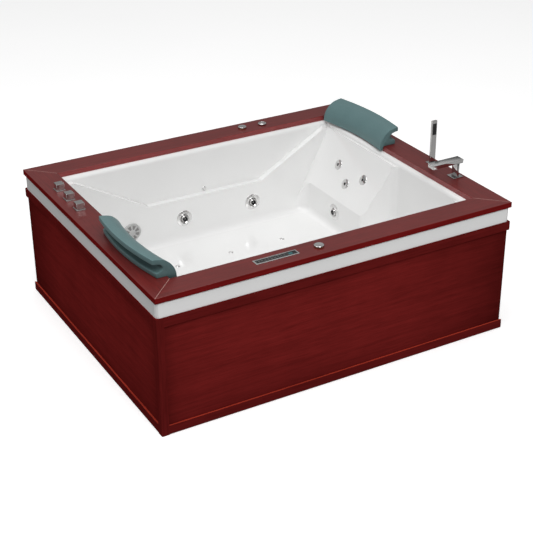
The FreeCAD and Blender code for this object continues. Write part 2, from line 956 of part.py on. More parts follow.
def rim_frame():
    half = d.rim_tube / 2
    low = rim_low - d.rim_tube
    tubes = []
    for sign_y, name in ((-1, "front"), (1, "back")):
        y = sign_y * frame_y
        start = (-frame_x - half, y - half, low)
        end = (frame_x + half, y + half, rim_low)
        tubes.append(square_tube("rim_rail_" + name, start, end, d.tube_wall, "Length"))
        for sign_x, hand in ((-1, "left"), (1, "right")):
            x = sign_x * frame_x
            start = (x - half, y - half, frame_top)
            end = (x + half, y + half, low)
            tubes.append(square_tube(f"leg_{name}_{hand}", start, end, d.tube_wall, "Height"))
    for sign_x, hand in ((-1, "left"), (1, "right")):
        x = sign_x * frame_x
        start = (x - half, -frame_y + half, low)
        end = (x + half, frame_y - half, rim_low)
        tubes.append(square_tube("rim_rail_" + hand, start, end, d.tube_wall, "Width"))
    return compound("rim_frame", tubes)


def levelling_feet():
    """Adjustable feet: pad, threaded rod and lock nut under the frame rails."""
    foot = new_body("levelling_foot")
    add_prism(foot, d.foot_radius, 0, d.foot_height, 6)
    add_prism(foot, d.foot_rod, d.foot_height, frame_low, 4)
    add_prism(foot, d.foot_rod * 2, frame_low - d.foot_nut, frame_low, 6)
    rails = (-frame_x, -d.inner_rail, d.inner_rail, frame_x)
    spots = [spot(x, y, 0) for y in (-frame_y, frame_y) for x in rails]
    return group("levelling_feet", foot, spots)


# Head pillows: a curved slab hooked over the deck's inner edge, on a foot that lies on the deck

lip_thick = 22


def pillow_section(room):
    """The corners of the section, outwards from the deck's inner edge and up from the deck."""
    rise, slab, foot = float(d.pillow_rise), float(d.pillow_slab), float(d.pillow_foot)
    front, lip, gap = float(d.pillow_front), float(d.pillow_lip), float(d.play)
    depth = front + float(d.pillow_reach)
    back = [(0, -lip), (0.03, rise * 0.12), (0.12, rise * 0.4), (0.28, rise * 0.66), (0.5, rise * 0.86)]
    back += [(0.74, rise * 0.95), (1, rise)]
    hollow = [
        (1.01, rise - slab), (0.78, rise * 0.95 - slab), (0.6, rise * 0.86 - slab * 0.9),
        (0.43, rise * 0.66 - slab * 0.72), (0.33, foot + 2), (0.86, foot), (0.84, gap)]
    hook = min(lip_thick - front, room)
    corners = [(depth * share - front, up) for share, up in back + hollow]
    return corners + [(hook + 3, gap), (hook, -lip)]


def pillow_shape():
    """The section carried along a shallow bow, with its ends cut square and its lip clear of the deck."""
    rings = []
    for along in (-1, -0.75, -0.5, -0.2, 0.2, 0.5, 0.75, 1):
        bow = d.pillow_bow * along * along + d.pillow_skew * along
        start = point(inner_x - bow, d.pillow_mid + d.pillow_length / 2 * along, d.deck_top)
        section = pillow_section(float(bow) - 4)
        rings.append([start + Vector(out, 0, up) for out, up in section])
    return solid_of_rings(rings)


def pillows():
    shape = pillow_shape()
    feature("pillow_right", shape)
    left = feature("pillow_left", shape.copy())
    left.Placement = HALF_TURN


# Deck-mounted taps, hand shower and spout

def tap_knob(label, x, y):
    """A square chrome handle on a round stem."""
    knob = prism(label, square(d.knob_size), 0, d.knob_height)
    bevel(knob, 1.5, lambda edge: upright(edge) or level(d.knob_height)(edge))
    add_prism(knob, d.stem_radius, -d.stem_length, 0)
    place(knob, x, y, d.deck_top + d.plate_thick + d.play)
    return keep(knob)


def square_plate(label, size, hole):
    """A square cover plate with softened edges and a round hole."""
    plate = prism(label, square(size), 0, d.plate_thick)
    bevel(plate, 1.5, level(d.plate_thick))
    cut_prism(plate, around(hole, 8), d.plate_thick, d.plate_thick)
    return plate


def tap_valve():
    """Shank through the deck with its nut, and the valve block with its inlet tail below."""
    nut_top = rim_low - d.deck_top
    nut_low = nut_top - d.foot_nut
    valve_low = nut_low - d.valve_height
    valve = new_body("tap_valve")
    add_prism(valve, d.shank_radius, nut_low, d.plate_thick, 6)
    add_prism(valve, d.valve_size / 2, nut_low, nut_top, 6)
    sketch = new_sketch(valve, "XY_Plane", valve_low)
    add_outline(sketch, square(d.valve_size))
    pad(valve, sketch, d.valve_height)
    add_rod(valve, d.tail_radius, valve_low - d.tail_length, valve_low)
    cut_prism(valve, around(d.stem_radius + d.play, 6), d.plate_thick, d.stem_length + d.play, 6)
    return valve


def taps():
    spots = [spot(x, y, d.deck_top) for x, y in tap_places]
    for label, (x, y) in zip(("cold_knob", "diverter_knob", "hot_knob"), tap_places):
        tap_knob(label, x, y)
    group("tap_plates", square_plate("tap_plate_pattern", d.tap_plate, d.shank_radius + d.play), spots)
    group("tap_valves", tap_valve(), spots)


def deck_sleeve(label, size, bore, bottom):
    """A square plate on the deck with a sleeve through it and a nut under the rim."""
    nut_top = rim_low - d.deck_top
    nut_low = nut_top - d.foot_nut
    sleeve = prism(label, square(size), 0, d.plate_thick)
    bevel(sleeve, 1.5, level(d.plate_thick))
    add_prism(sleeve, d.shank_radius, bottom, 0)
    add_prism(sleeve, d.valve_size / 2, nut_low, nut_top, 6)
    if bore:
        cut_prism(sleeve, around(bore, 8), d.plate_thick, d.plate_thick - bottom)
    return keep(sleeve)


def hand_shower():
    """A flat bar handset that stands on its holder with its tail in the sleeve."""
    x, y = shower_place
    low = d.deck_top + d.plate_thick + d.play
    bore = d.shower_tail + d.play
    holder = deck_sleeve("hand_shower_holder", d.tap_plate, bore, -d.tail_depth - d.plate_thick)
    place(holder, x, y, d.deck_top)

    bar = prism("hand_shower", rectangle(
        -d.shower_width / 2, d.shower_width / 2, -d.shower_thick / 2, d.shower_thick / 2), 0, d.shower_length)
    bevel(bar, 1.5, lambda edge: upright(edge) or level(d.shower_length)(edge))
    add_prism(bar, d.shower_tail, -d.tail_depth, 0)
    recess_top = d.shower_length - 14
    recess = rectangle(-d.spray_width / 2, d.spray_width / 2, recess_top - d.spray_length, recess_top)
    sketch = new_sketch(bar, "XZ_Plane", d.shower_thick / 2)
    add_outline(sketch, recess)
    carve(bar, sketch, d.spray_thick)
    place(bar, x, y, low)
    keep(bar)

    plate = new_body("hand_shower_spray_plate")
    sketch = new_sketch(plate, "XZ_Plane", d.shower_thick / 2 - d.spray_thick)
    edge = d.play
    add_outline(sketch, rectangle(
        -d.spray_width / 2 + edge, d.spray_width / 2 - edge,
        recess_top - d.spray_length + edge, recess_top - edge))
    pad(plate, sketch, d.spray_thick)
    place(plate, x, y, low)
    keep(plate)


def bath_spout():
    """A flat post across the arm, and an arm over the basin with a drip lip at its tip."""
    x, y = spout_place
    base = deck_sleeve("spout_base", d.spout_plate, None, -d.tail_depth)
    place(base, x, y, d.deck_top)

    spout = new_body("bath_spout")
    back = d.arm_over
    tip = back - d.arm_length
    low = d.spout_rise
    high = d.spout_rise + d.arm_thick
    lip = d.arm_thick * 0.2
    sketch = new_sketch(spout, "XZ_Plane", -d.arm_width / 2)
    add_outline(sketch, [
        (back, low), (back, high), (tip, high), (tip, low - lip),
        (tip + lip * 3, low - lip), (tip + lip * 4, low)])
    pad(spout, sketch, d.arm_width)
    sketch = new_sketch(spout, "XY_Plane", 0)
    post, wide = d.spout_post / 2, d.arm_width / 2
    add_outline(sketch, rectangle(-post, post, -wide, wide))
    pad(spout, sketch, low)
    soften(spout, 2, level(high))
    slot = new_sketch(spout, "XY_Plane", low - lip)
    add_outline(slot, rectangle(tip + lip, tip + lip * 2, -d.arm_width / 3, d.arm_width / 3))
    carve(spout, slot, d.arm_thick / 2, True)
    place(spout, x, y, d.deck_top + d.plate_thick)
    keep(spout)


# Air knobs, push button and control panel

def air_dial(label, x, y):
    """A low round air knob on a narrower neck, with a pointer groove and a thin stem."""
    neck = d.dial_height * 0.3
    rim = d.dial_radius
    dial = new_body(label)
    add_prism(dial, rim, neck, d.dial_height, 24)
    bevel(dial, 1.5, level(d.dial_height))
    add_prism(dial, rim * 0.75, 0, neck, 12)
    add_rod(dial, d.dial_stem, -d.stem_length, 0)
    groove = new_sketch(dial, "XY_Plane", d.dial_height)
    add_outline(groove, rectangle(-1, 1, rim * 0.35, rim * 0.8))
    carve(dial, groove, 1)
    place(dial, x, y, d.deck_top + 2 + d.play)
    return keep(dial)


def air_valve():
    """The valve under an air knob: flange, shank, nut and a hose tail."""
    nut_top = rim_low - d.deck_top
    nut_low = nut_top - d.foot_nut
    valve_low = nut_low - d.valve_height
    flange = 2
    valve = new_body("air_valve")
    add_prism(valve, d.dial_radius - 2, 0, flange, 8)
    add_prism(valve, d.shank_radius, nut_low - 12, 0, 6)
    add_prism(valve, d.valve_size / 2, nut_low, nut_top, 6)
    add_prism(valve, d.air_radius, valve_low, nut_low - 12, 6)
    cut_prism(valve, around(d.dial_stem + d.play, 6), flange, d.stem_length + d.play, 6)
    return valve


def push_button():
    """A pneumatic on-off button in a raised round bezel."""
    x, y = button_place
    nut_top = rim_low - d.deck_top
    nut_low = nut_top - d.foot_nut
    floor = 1.5
    stem_bore = around(d.dial_stem + d.play, 6)
    bezel = new_body("push_button_bezel")
    add_prism(bezel, d.dial_radius, 0, d.bezel_height, 24)
    bevel(bezel, 2, level(d.bezel_height))
    cut_prism(bezel, around(d.button_radius + d.play, 24), d.bezel_height, d.bezel_height - floor, 24)
    add_prism(bezel, d.shank_radius, nut_low, 0, 6)
    add_prism(bezel, d.valve_size / 2, nut_low, nut_top, 6)
    add_prism(bezel, d.air_radius, nut_low - d.valve_height / 2, nut_low, 6)
    cut_prism(bezel, stem_bore, floor, floor - nut_top, 6)
    place(bezel, x, y, d.deck_top)
    keep(bezel)
    bottom = floor + d.button_travel + d.play
    stem_low = nut_top + d.button_travel + d.play
    button = new_body("push_button")
    add_prism(button, d.button_radius, bottom, d.bezel_height + 1, 24)
    bevel(button, 1, level(d.bezel_height + 1))
    add_prism(button, d.dial_stem, stem_low, bottom, 6)
    place(button, x, y, d.deck_top)
    keep(button)


def control_panel():
    """A flush keypad: framed tray in the deck, a keypad sheet with raised keys, and a display lens."""
    x, y = control_place
    half_l = d.control_length / 2
    half_w = d.control_width / 2
    window_l = half_l - d.control_border + 1
    window_w = half_w - d.control_border + 1
    tray_l = control_hole[0] / 2 - d.play
    tray_w = control_hole[1] / 2 - d.play
    bezel = prism("control_bezel", rectangle(-half_l, half_l, -half_w, half_w), 0, d.control_flange)
    soften(bezel, 1.2, level(d.control_flange))
    tray = new_sketch(bezel, "XY_Plane", -d.control_depth)
    add_outline(tray, rectangle(-tray_l, tray_l, -tray_w, tray_w))
    pad(bezel, tray, d.control_depth)
    window = new_sketch(bezel, "XY_Plane", d.control_flange)
    add_outline(window, rectangle(-window_l, window_l, -window_w, window_w))
    carve(bezel, window, d.control_flange - 0.6)
    place(bezel, x, y, d.deck_top)
    keep(bezel)

    fit_l = window_l - d.play
    fit_w = window_w - d.play
    split = fit_l - d.display_length
    sheet_top = d.control_flange - 0.9
    keypad = prism("control_keypad", rectangle(-fit_l, split, -fit_w, fit_w), 0.6, sheet_top)
    key_w = fit_w * 0.62
    keys = new_sketch(keypad, "XY_Plane", sheet_top)
    for column in range(int(float(d.key_columns))):
        left = -fit_l + 4 + d.key_pitch * column
        for row_low in (-fit_w + 1.5, fit_w - 1.5 - key_w):
            add_outline(keys, rectangle(left, left + d.key_pitch * 0.66, row_low, row_low + key_w))
    pad(keypad, keys, 0.7)
    place(keypad, x, y, d.deck_top)
    keep(keypad)

    window = rectangle(split + d.play, fit_l, -fit_w, fit_w)
    lens = prism("control_display", window, 0.6, d.control_flange - 0.4)
    place(lens, x, y, d.deck_top)
    keep(lens)


def deck_controls():
    air_dial("air_knob_back", *back_dial)
    air_dial("air_knob_front", *front_dial)
    group("air_valves", air_valve(), [spot(x, y, d.deck_top) for x, y in (back_dial, front_dial)])
    push_button()
    control_panel()


# Water jets: a ring on the wall, a swivelling eyeball and the body behind the wall.
# Their own Z axis points out of the wall and their Y axis points up it.

ball_back = 4
jet_spigot = d.jet_hole * 2


def jet_ring():
    height = 6
    ring = new_body("jet_ring")
    add_prism(ring, d.jet_radius, 0, height, 16)
    bevel(ring, height * 0.7, level(height))
    cut_prism(ring, around(d.ball_radius + d.play, 12), height, height, 12)
    return ring


def jet_body():
    """Flange behind the wall with a socket for the eyeball, chamber, and a water spigot on top."""
    flange_top = -d.acrylic - d.play
    flange_low = flange_top - d.foot_nut - 4
    socket_floor = -ball_back - d.ball_radius * 0.9
    body = new_body("jet_body")
    add_prism(body, d.jet_hole * 1.6, flange_low, flange_top, 6)
    add_prism(body, d.jet_hole * 1.2, -d.jet_depth, flange_low, 6)
    side_prism(body, d.branch_radius, (flange_low - d.jet_depth) / 2, jet_spigot, True, 6)
    seat = around_flat(d.ball_radius * 0.985, 12) + d.play
    cut_prism(body, around(seat, 6), flange_top, flange_top - socket_floor, 6)
    return body


def jet_nozzle(label, where):
    """An eyeball in flat bands, turned on its upright axis, with a water bore and a short spout ring."""
    ball = d.ball_radius
    band = ball * 0.15
    low = -ball * 0.7 - ball_back
    face = ball * 0.53 - ball_back
    nozzle = new_body(label)
    add_prism(nozzle, ball * 0.985, low, face, 12)
    bevel(nozzle, ball * 0.7 - band, level(low))
    bevel(nozzle, ball * 0.53 - band, level(face))
    add_prism(nozzle, ball * 0.55, face, face + 2)
    cut_prism(nozzle, ball * 0.42, face + 2, ball * 0.9)
    barrel = new_sketch(nozzle, "XZ_Plane", ball)
    add_outline(barrel, rectangle(-2 * ball, 2 * ball, -2 * ball, 2 * ball))
    add_circle(barrel, 0, -ball_back, ball * 0.93)
    carve(nozzle, barrel, 2 * ball)
    nozzle.Placement = where
    return keep(nozzle)


def small_ring():
    height = 4.5
    ring = new_body("small_ring")
    add_prism(ring, d.small_radius, 0, height, 12)
    bevel(ring, height * 0.7, level(height))
    cut_prism(ring, around(d.small_hole * 0.62, 8), height, height)
    return ring


def small_body():
    """A small back jet: flange and chamber behind the wall, shank through it and a nozzle in its ring."""
    flange_top = -d.acrylic - d.play
    flange_low = flange_top - d.foot_nut
    body = new_body("small_body")
    add_prism(body, d.small_hole * 1.4, flange_low, flange_top, 6)
    add_prism(body, d.small_hole, -d.small_depth, flange_low, 4)
    add_prism(body, d.small_hole - d.play, flange_top, -d.play, 6)
    add_prism(body, d.small_hole * 0.62 - d.play, -d.play, 2.5)
    return body


def floor_air_jet():
    """A low cap on the floor with its shank, nut and hose tail below."""
    nut_top = -d.acrylic - d.play
    nut_low = nut_top - d.foot_nut
    cap = 3
    jet = new_body("floor_air_jet")
    add_prism(jet, d.air_jet_radius, 0, cap, 8)
    bevel(jet, cap * 0.6, level(cap))
    add_prism(jet, d.air_jet_hole, nut_top, 0, 6)
    add_prism(jet, d.air_jet_hole * 1.7, nut_low, nut_top, 6)
    add_prism(jet, d.air_jet_hole * 0.75, -d.air_jet_depth, nut_low, 4)
    return jet


def jets():
    group("jet_rings", jet_ring(), jet_spots)
    large = jet_body()
    small = small_body()
    doc.recompute()
    bodies = []
    for pattern, spots in ((large, jet_spots), (small, small_jet_spots)):
        for where in spots:
            solid = pattern.Shape.copy()
            solid.Placement = where.multiply(solid.Placement)
            bodies.append(solid)
    feature("jet_bodies", Part.makeCompound(bodies))
    for name, where in zip(JET_NAMES, jet_spots):
        jet_nozzle("jet_nozzle_" + name, where)
    group("back_jet_rings", small_ring(), small_jet_spots)
    group("floor_air_jets", floor_air_jet(), air_jet_spots)


# Suction fitting, level sensor, waste and overflow

def suction():
    """A domed grille with six slots over the suction body in the back wall."""
    rim = d.suction_radius
    height = 9
    cover = new_body("suction_cover")
    add_prism(cover, rim, 0, height, 20)
    bevel(cover, height * 0.55, level(height))
    add_prism(cover, rim * 0.24, height, height + 2, 16)
    cut_prism(cover, rim - 8, 4, 4, 16)
    slot = new_sketch(cover, "XY_Plane", height)
    half_slot = math.radians(15)
    inner, outer = rim * 0.36, rim * 0.8
    across, out = math.sin(half_slot), math.cos(half_slot)
    add_outline(slot, [
        (inner * out, -inner * across), (outer * out, -outer * across), (outer * out, outer * across),
        (inner * out, inner * across)])
    carve(cover, slot, height)
    first = cover.Tip
    slots = cover.newObject("PartDesign::PolarPattern", "suction_slots")
    slots.Originals = [first]
    slots.Axis = (slot, ["N_Axis"])
    slots.Angle = 360
    slots.Occurrences = 6
    cover.Tip = slots
    cover.Placement = suction_spot
    keep(cover)

    flange_top = -d.acrylic - d.play
    flange_low = flange_top - d.foot_nut
    body = new_body("suction_body")
    add_prism(body, d.suction_hole * 1.4, flange_low, flange_top)
    add_prism(body, d.suction_hole, -d.suction_depth, flange_low)
    side_prism(body, d.pipe_radius + 4, -d.suction_depth + d.pipe_radius + 6, d.suction_hole + 6)
    cut_prism(body, d.suction_hole - 3, flange_top, d.foot_nut + 15)
    body.Placement = suction_spot
    keep(body)


def level_sensor():
    nut_top = -d.acrylic - d.play
    nut_low = nut_top - d.foot_nut
    cap = 3
    sensor = new_body("level_sensor")
    add_prism(sensor, d.sensor_radius, 0, cap, 12)
    bevel(sensor, cap * 0.5, level(cap))
    cut_prism(sensor, d.sensor_radius * 0.5, cap, cap / 2)
    add_prism(sensor, d.sensor_hole, nut_top, 0, 6)
    add_prism(sensor, d.sensor_hole * 1.6, nut_low, nut_top, 6)
    add_prism(sensor, d.sensor_hole * 0.6, nut_low - 14, nut_low, 6)
    sensor.Placement = sensor_spot
    return keep(sensor)


def waste():
    """The waste under the floor with its outlet, the lifting plug and the overflow with its knob."""
    flange = 3
    nut_top = -d.acrylic - d.play
    nut_low = nut_top - d.foot_nut
    shank = d.drain_hole - d.play
    bore = shank - 4
    stem = 5
    cup_low = d.outlet_height - d.overflow_pipe - 8 - d.basin_floor
    tail_low = cup_low - d.outlet_length
    middle = d.outlet_height - d.basin_floor
    body = new_body("drain_body")
    add_prism(body, d.drain_radius, 0, flange, 16)
    bevel(body, flange * 0.6, level(flange))
    add_prism(body, shank, nut_top, 0, 12)
    add_prism(body, d.drain_radius + 5, nut_low, nut_top)
    add_prism(body, d.drain_radius, cup_low, nut_low)
    add_rod(body, d.outlet_radius, tail_low, cup_low)
    cut_prism(body, d.outlet_radius - 3, cup_low, d.outlet_length, 6)
    side_prism(body, d.overflow_pipe + 3, middle, d.drain_radius + 12)
    cut_prism(body, around(bore, 12), flange, flange - 2 * nut_low, 12)
    cut_prism(body, around(stem + d.play, 8), 2 * nut_low, 2 * nut_low - middle)
    place(body, 0, 0, d.basin_floor)
    keep(body)

    plug = new_body("drain_plug")
    add_prism(plug, bore - d.play, 0, 6, 12)
    bevel(plug, 2.5, level(6))
    add_prism(plug, stem, middle + d.play, 0)
    place(plug, 0, 0, d.basin_floor)
    keep(plug)

    cap = 4
    drop = frame_y + d.tube_size / 2 + d.overflow_pipe + 6
    back = drop - wall_y + d.overflow_pipe + 4
    elbow = new_body("overflow_elbow")
    add_prism(elbow, d.overflow_radius, 0, cap, 16)
    add_prism(elbow, d.overflow_hole - d.play, nut_top, 0, 12)
    add_prism(elbow, d.overflow_hole * 1.35, nut_low, nut_top)
    add_prism(elbow, d.overflow_hole, -back, nut_low)
    cut_prism(elbow, around(stem + d.play, 8), cap, cap - nut_low)
    doc.recompute()
    solid = elbow.Shape.copy()
    solid.Placement = overflow_spot.multiply(solid.Placement)
    route = [(0, -drop, overflow_z), (0, -drop, d.outlet_height), (0, -d.drain_radius - 12, d.outlet_height)]
    feature("overflow_pipe", solid.fuse(pipe(route, d.overflow_pipe)))

    grip = d.overflow_radius - 3
    top = 16
    knob = new_body("overflow_knob")
    add_prism(knob, grip, cap + d.play, top, 16)
    bevel(knob, 3, level(top))
    add_rod(knob, stem, nut_low + d.play, cap + d.play)
    for side in (1, -1):
        cut_prism(knob, grip * 0.24, top, 6, 6, side * grip * 0.55, 0)
    knob.Placement = overflow_spot
    keep(knob)


# Pump, blower, control box and pipework in the space behind the seats

def pipe(route, radius, sides=8):
    """A pipe along straight runs with mitred elbows."""
    points = [point(*place_at) for place_at in route]
    runs = [(there - here).normalize() for here, there in zip(points, points[1:])]
    across = X_AXIS if abs(runs[0].x) < 0.5 else Z_AXIS
    third = runs[0].cross(across)
    ring = [points[0] + across * x + third * y for x, y in ngon(float(radius), sides)]
    rings = [ring]
    for ahead, after, elbow in zip(runs, runs[1:] + runs[-1:], points[1:]):
        mitre = ahead + after
        ring = [corner + ahead * ((elbow - corner).dot(mitre) / ahead.dot(mitre)) for corner in ring]
        rings.append(ring)
    return solid_of_rings(rings)


pump_z = frame_low + d.volute_radius * math.cos(math.pi / 16)
main_z = jet_z + d.main_rise
spigot_depth = (-d.acrylic - d.play - d.foot_nut - 4 - d.jet_depth) / 2
main_y = side_y - spigot_depth
blower_tail = 3 * d.tray_thick
inlet_length = 22
outlet_length = 14


def around_flat(radius, sides=16):
    """The distance from a polygon's middle to its flats."""
    return radius * math.cos(math.pi / sides)


def pump():
    """Wet end with axial inlet and upward outlet, and a finned motor on a cast foot."""
    length = d.volute_length
    volute = d.volute_radius
    where = spot(pump_x, pump_y + length, pump_z, Rotation(X_AXIS, -90).multiply(Rotation(Z_AXIS, 180)))
    wet = new_body("pump_wet_end")
    add_prism(wet, volute, -length + 8, 0, 16)
    bevel(wet, 14, level(0))
    add_prism(wet, volute - 12, -length, -length + 8)
    add_prism(wet, d.pipe_radius + 6, 0, inlet_length, 8)
    side_prism(wet, d.main_radius + 3, -length / 2, volute + outlet_length, True)
    wet.Placement = where
    keep(wet)

    body = d.motor_radius - 6
    motor_low = -length - d.motor_length
    motor = new_body("pump_motor")
    add_prism(motor, body, motor_low, -length)
    add_prism(motor, d.motor_radius, motor_low, motor_low + 46, 12)
    bevel(motor, 8, level(motor_low))
    add_prism(motor, d.motor_radius, -length - 12, -length, 12)
    fin = new_sketch(motor, "XY_Plane", motor_low + 46)
    add_outline(fin, rectangle(body * 0.9, d.motor_radius, -2, 2))
    pad(motor, fin, d.motor_length - 58)
    first = motor.Tip
    fins = motor.newObject("PartDesign::PolarPattern", "motor_fins")
    fins.Originals = [first]
    fins.Axis = (fin, ["N_Axis"])
    fins.Angle = 360
    fins.Occurrences = 6
    motor.Tip = fins
    foot = new_sketch(motor, "XY_Plane", motor_low + 60)
    half_foot = d.motor_radius * 0.8
    add_outline(foot, rectangle(-half_foot, half_foot, -around_flat(volute), -body * 0.7))
    pad(motor, foot, d.motor_length - 90)
    motor.Placement = where
    keep(motor)


def blower():
    """An upright air blower: scroll, motor cap and an outlet down through its tray."""
    scroll = d.blower_height * 0.5
    made = new_body("air_blower")
    add_prism(made, d.blower_radius, 0, scroll, 16)
    bevel(made, 8, level(scroll))
    add_prism(made, d.blower_radius * 0.62, scroll, d.blower_height, 16)
    bevel(made, 8, level(d.blower_height))
    add_prism(made, d.blower_outlet, -blower_tail, 0)
    place(made, -blower_x, -blower_y, frame_low)
    return keep(made)


def control_box():
    """The sealed control box with its empty cable gland down through the tray."""
    box = prism("control_box", rectangle(
        -d.box_length / 2, d.box_length / 2, -d.box_width / 2, d.box_width / 2), 0, d.box_height)
    bevel(box, 6, upright)
    lid = new_sketch(box, "XY_Plane", d.box_height)
    rim = 5
    add_outline(lid, rectangle(
        -d.box_length / 2 + rim, d.box_length / 2 - rim, -d.box_width / 2 + rim, d.box_width / 2 - rim))
    pad(box, lid, 4)
    add_prism(box, gland_size, -d.gland_length, 0, 6)
    drill(box, d.gland_radius, 0, d.gland_length)
    place(box, -pump_x, -d.box_y, frame_low)
    return keep(box)


def suction_pipe():
    spigot_low = d.basin_floor + d.suction_rise - d.suction_hole - 6
    run_y = side_y + d.suction_depth - d.pipe_radius - 6
    inlet_y = pump_y + d.volute_length + inlet_length
    route = [
        (-d.suction_x, run_y, spigot_low), (-d.suction_x, run_y, pump_z), (pump_x, run_y, pump_z),
        (pump_x, inlet_y, pump_z)]
    return feature("suction_pipe", pipe(route, d.pipe_radius))


def pressure_pipes():
    """The ring main from the pump past every large jet, with a drop to each jet's spigot."""
    outlet_y = pump_y + d.volute_length / 2
    outlet_z = pump_z + d.volute_radius + outlet_length
    left_x = wall_x + d.acrylic + d.main_radius + 13
    end_x = seat_x - spigot_depth
    main = pipe([
        (pump_x, outlet_y, outlet_z), (pump_x, outlet_y, main_z), (pump_x, main_y, main_z),
        (-left_x, main_y, main_z), (-left_x, -main_y, main_z), (d.jet_left, -main_y, main_z)], d.main_radius)
    drop_low = jet_z + jet_spigot
    drops = ((-d.jet_left, main_y), (d.jet_right, main_y), (d.jet_left, -main_y), (-d.jet_right, -main_y))
    branches = [[(x, y, main_z), (x, y, drop_low)] for x, y in drops]
    drop_low = end_jet_z + jet_spigot
    branches.append([(end_x, main_y, main_z), (end_x, d.end_jet_y, main_z), (end_x, d.end_jet_y, drop_low)])
    branches.append([
        (-left_x, -d.end_jet_y, main_z), (-end_x, -d.end_jet_y, main_z), (-end_x, -d.end_jet_y, drop_low)])
    for branch in branches:
        main = main.fuse(pipe(branch, d.branch_radius))
    return feature("pressure_pipes", main)


def air_pipes():
    """Air from each knob to the tails of its two wall jets, and from the blower to the floor jets."""
    tail = side_y + d.jet_depth
    radius = d.air_radius
    valve_low = rim_low - d.foot_nut - d.valve_height
    pieces = []
    for (x, y), ends in ((back_dial, (-d.jet_left, d.jet_right)), (front_dial, (-d.jet_right, d.jet_left))):
        side = 1 if float(y) > 0 else -1
        tail_y = side * tail
        run_y = side * (tail + 2 * radius)
        first, last = ends
        run = pipe([
            (first, tail_y, jet_z), (first, run_y, jet_z),
            (last, run_y, jet_z), (last, tail_y, jet_z)], radius)
        pieces.append(run.fuse(pipe([(x, y, valve_low), (x, y, jet_z), (x, run_y, jet_z)], radius)))
    feed_z = d.basin_floor - d.air_jet_depth - radius
    blower_low = frame_low - blower_tail
    end_x = d.air_jet_x + radius
    manifold = pipe([
        (-blower_x, -blower_y, blower_low), (-blower_x, -blower_y, feed_z),
        (-d.air_jet_x, -blower_y, feed_z), (-d.air_jet_x, d.air_jet_y, feed_z),
        (end_x, d.air_jet_y, feed_z)], radius)
    branch = pipe([(-d.air_jet_x, -d.air_jet_y, feed_z), (end_x, -d.air_jet_y, feed_z)], radius)
    pieces.append(manifold.fuse(branch))
    return feature("air_pipes", Part.makeCompound(pieces))


def equipment():
    pump()
    blower()
    control_box()
    suction_pipe()
    pressure_pipes()
    air_pipes()


def check():
    """Stops if any object failed or any node is empty or not valid."""
    doc.recompute()
    for thing in doc.Objects:
        if "Invalid" in thing.State or "Error" in thing.State:
            raise RuntimeError(f"{thing.Label} failed: {thing.State}")
    for node in nodes:
        if node.Shape.isNull() or not node.Shape.isValid():
            raise RuntimeError(node.Label + " has no valid shape")


tub_shell()
deck_boards()
aprons()
base_frame()
rim_frame()
levelling_feet()
pillows()
taps()
hand_shower()
bath_spout()
deck_controls()
jets()
suction()
level_sensor()
waste()
equipment()
check()
os.makedirs("parts", exist_ok=True)
for node in nodes:
    node.Shape.exportStep(os.path.join("parts", node.Label + ".step"))
print(len(nodes), "nodes written")
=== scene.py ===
import math

import bmesh
import bpy
from mathutils import Matrix, Vector


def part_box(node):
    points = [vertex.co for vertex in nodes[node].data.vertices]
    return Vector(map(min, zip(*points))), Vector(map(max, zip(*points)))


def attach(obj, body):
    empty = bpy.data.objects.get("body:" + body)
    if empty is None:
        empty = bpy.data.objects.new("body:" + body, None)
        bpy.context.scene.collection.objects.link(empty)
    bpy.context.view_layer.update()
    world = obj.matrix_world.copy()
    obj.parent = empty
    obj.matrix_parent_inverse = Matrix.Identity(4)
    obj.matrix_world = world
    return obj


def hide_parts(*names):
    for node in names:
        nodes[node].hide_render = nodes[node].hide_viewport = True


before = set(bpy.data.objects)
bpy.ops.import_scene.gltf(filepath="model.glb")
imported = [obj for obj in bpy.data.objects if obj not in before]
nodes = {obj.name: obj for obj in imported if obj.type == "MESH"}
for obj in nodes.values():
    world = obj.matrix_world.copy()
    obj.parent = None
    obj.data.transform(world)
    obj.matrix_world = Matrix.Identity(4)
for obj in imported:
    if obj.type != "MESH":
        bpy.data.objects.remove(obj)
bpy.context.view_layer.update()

# Jetted bathtub: finishes for the CAD nodes, soft head pillows, turned fittings, studio and camera.

scene = bpy.context.scene
scene.view_settings.view_transform = "Standard"
MM = 0.001


class Nodes:
    """Short calls to build a node tree."""

    def __init__(self, tree):
        self.tree = tree

    def add(self, kind, **settings):
        node = self.tree.nodes.new(kind)
        for name, value in settings.items():
            setattr(node, name, value)
        return node

    def link(self, start, end):
        self.tree.links.new(start, end)

    def across(self, axis):
        """The generated coordinate along an axis: a share of an object's extent, or a part of the sky's direction."""
        parts = self.add("ShaderNodeSeparateXYZ")
        self.link(self.add("ShaderNodeTexCoord").outputs["Generated"], parts.inputs["Vector"])
        return parts.outputs[axis]

    def ramp(self, factor, *stops):
        node = self.add("ShaderNodeValToRGB")
        ramp = node.color_ramp
        while len(ramp.elements) < len(stops):
            ramp.elements.new(0.5)
        for element, (position, colour) in zip(ramp.elements, stops):
            element.position = position
            element.color = (*colour, 1)
        self.link(factor, node.inputs["Fac"])
        return node.outputs["Color"]

    def mix(self, factor, first, second, blend):
        """Two colours mixed by a number or by another node's value."""
        node = self.add("ShaderNodeMix", data_type="RGBA", blend_type=blend)
        if isinstance(factor, float):
            node.inputs[0].default_value = factor
        else:
            self.link(factor, node.inputs[0])
        self.link(first, node.inputs[6])
        self.link(second, node.inputs[7])
        return node.outputs[2]

    def spread(self, factor, low, high, start=0.3, end=0.7, curve="LINEAR"):
        """A value mapped onto a range."""
        node = self.add("ShaderNodeMapRange", interpolation_type=curve)
        for name, value in (("From Min", start), ("From Max", end), ("To Min", low), ("To Max", high)):
            node.inputs[name].default_value = value
        self.link(factor, node.inputs["Value"])
        return node.outputs["Result"]


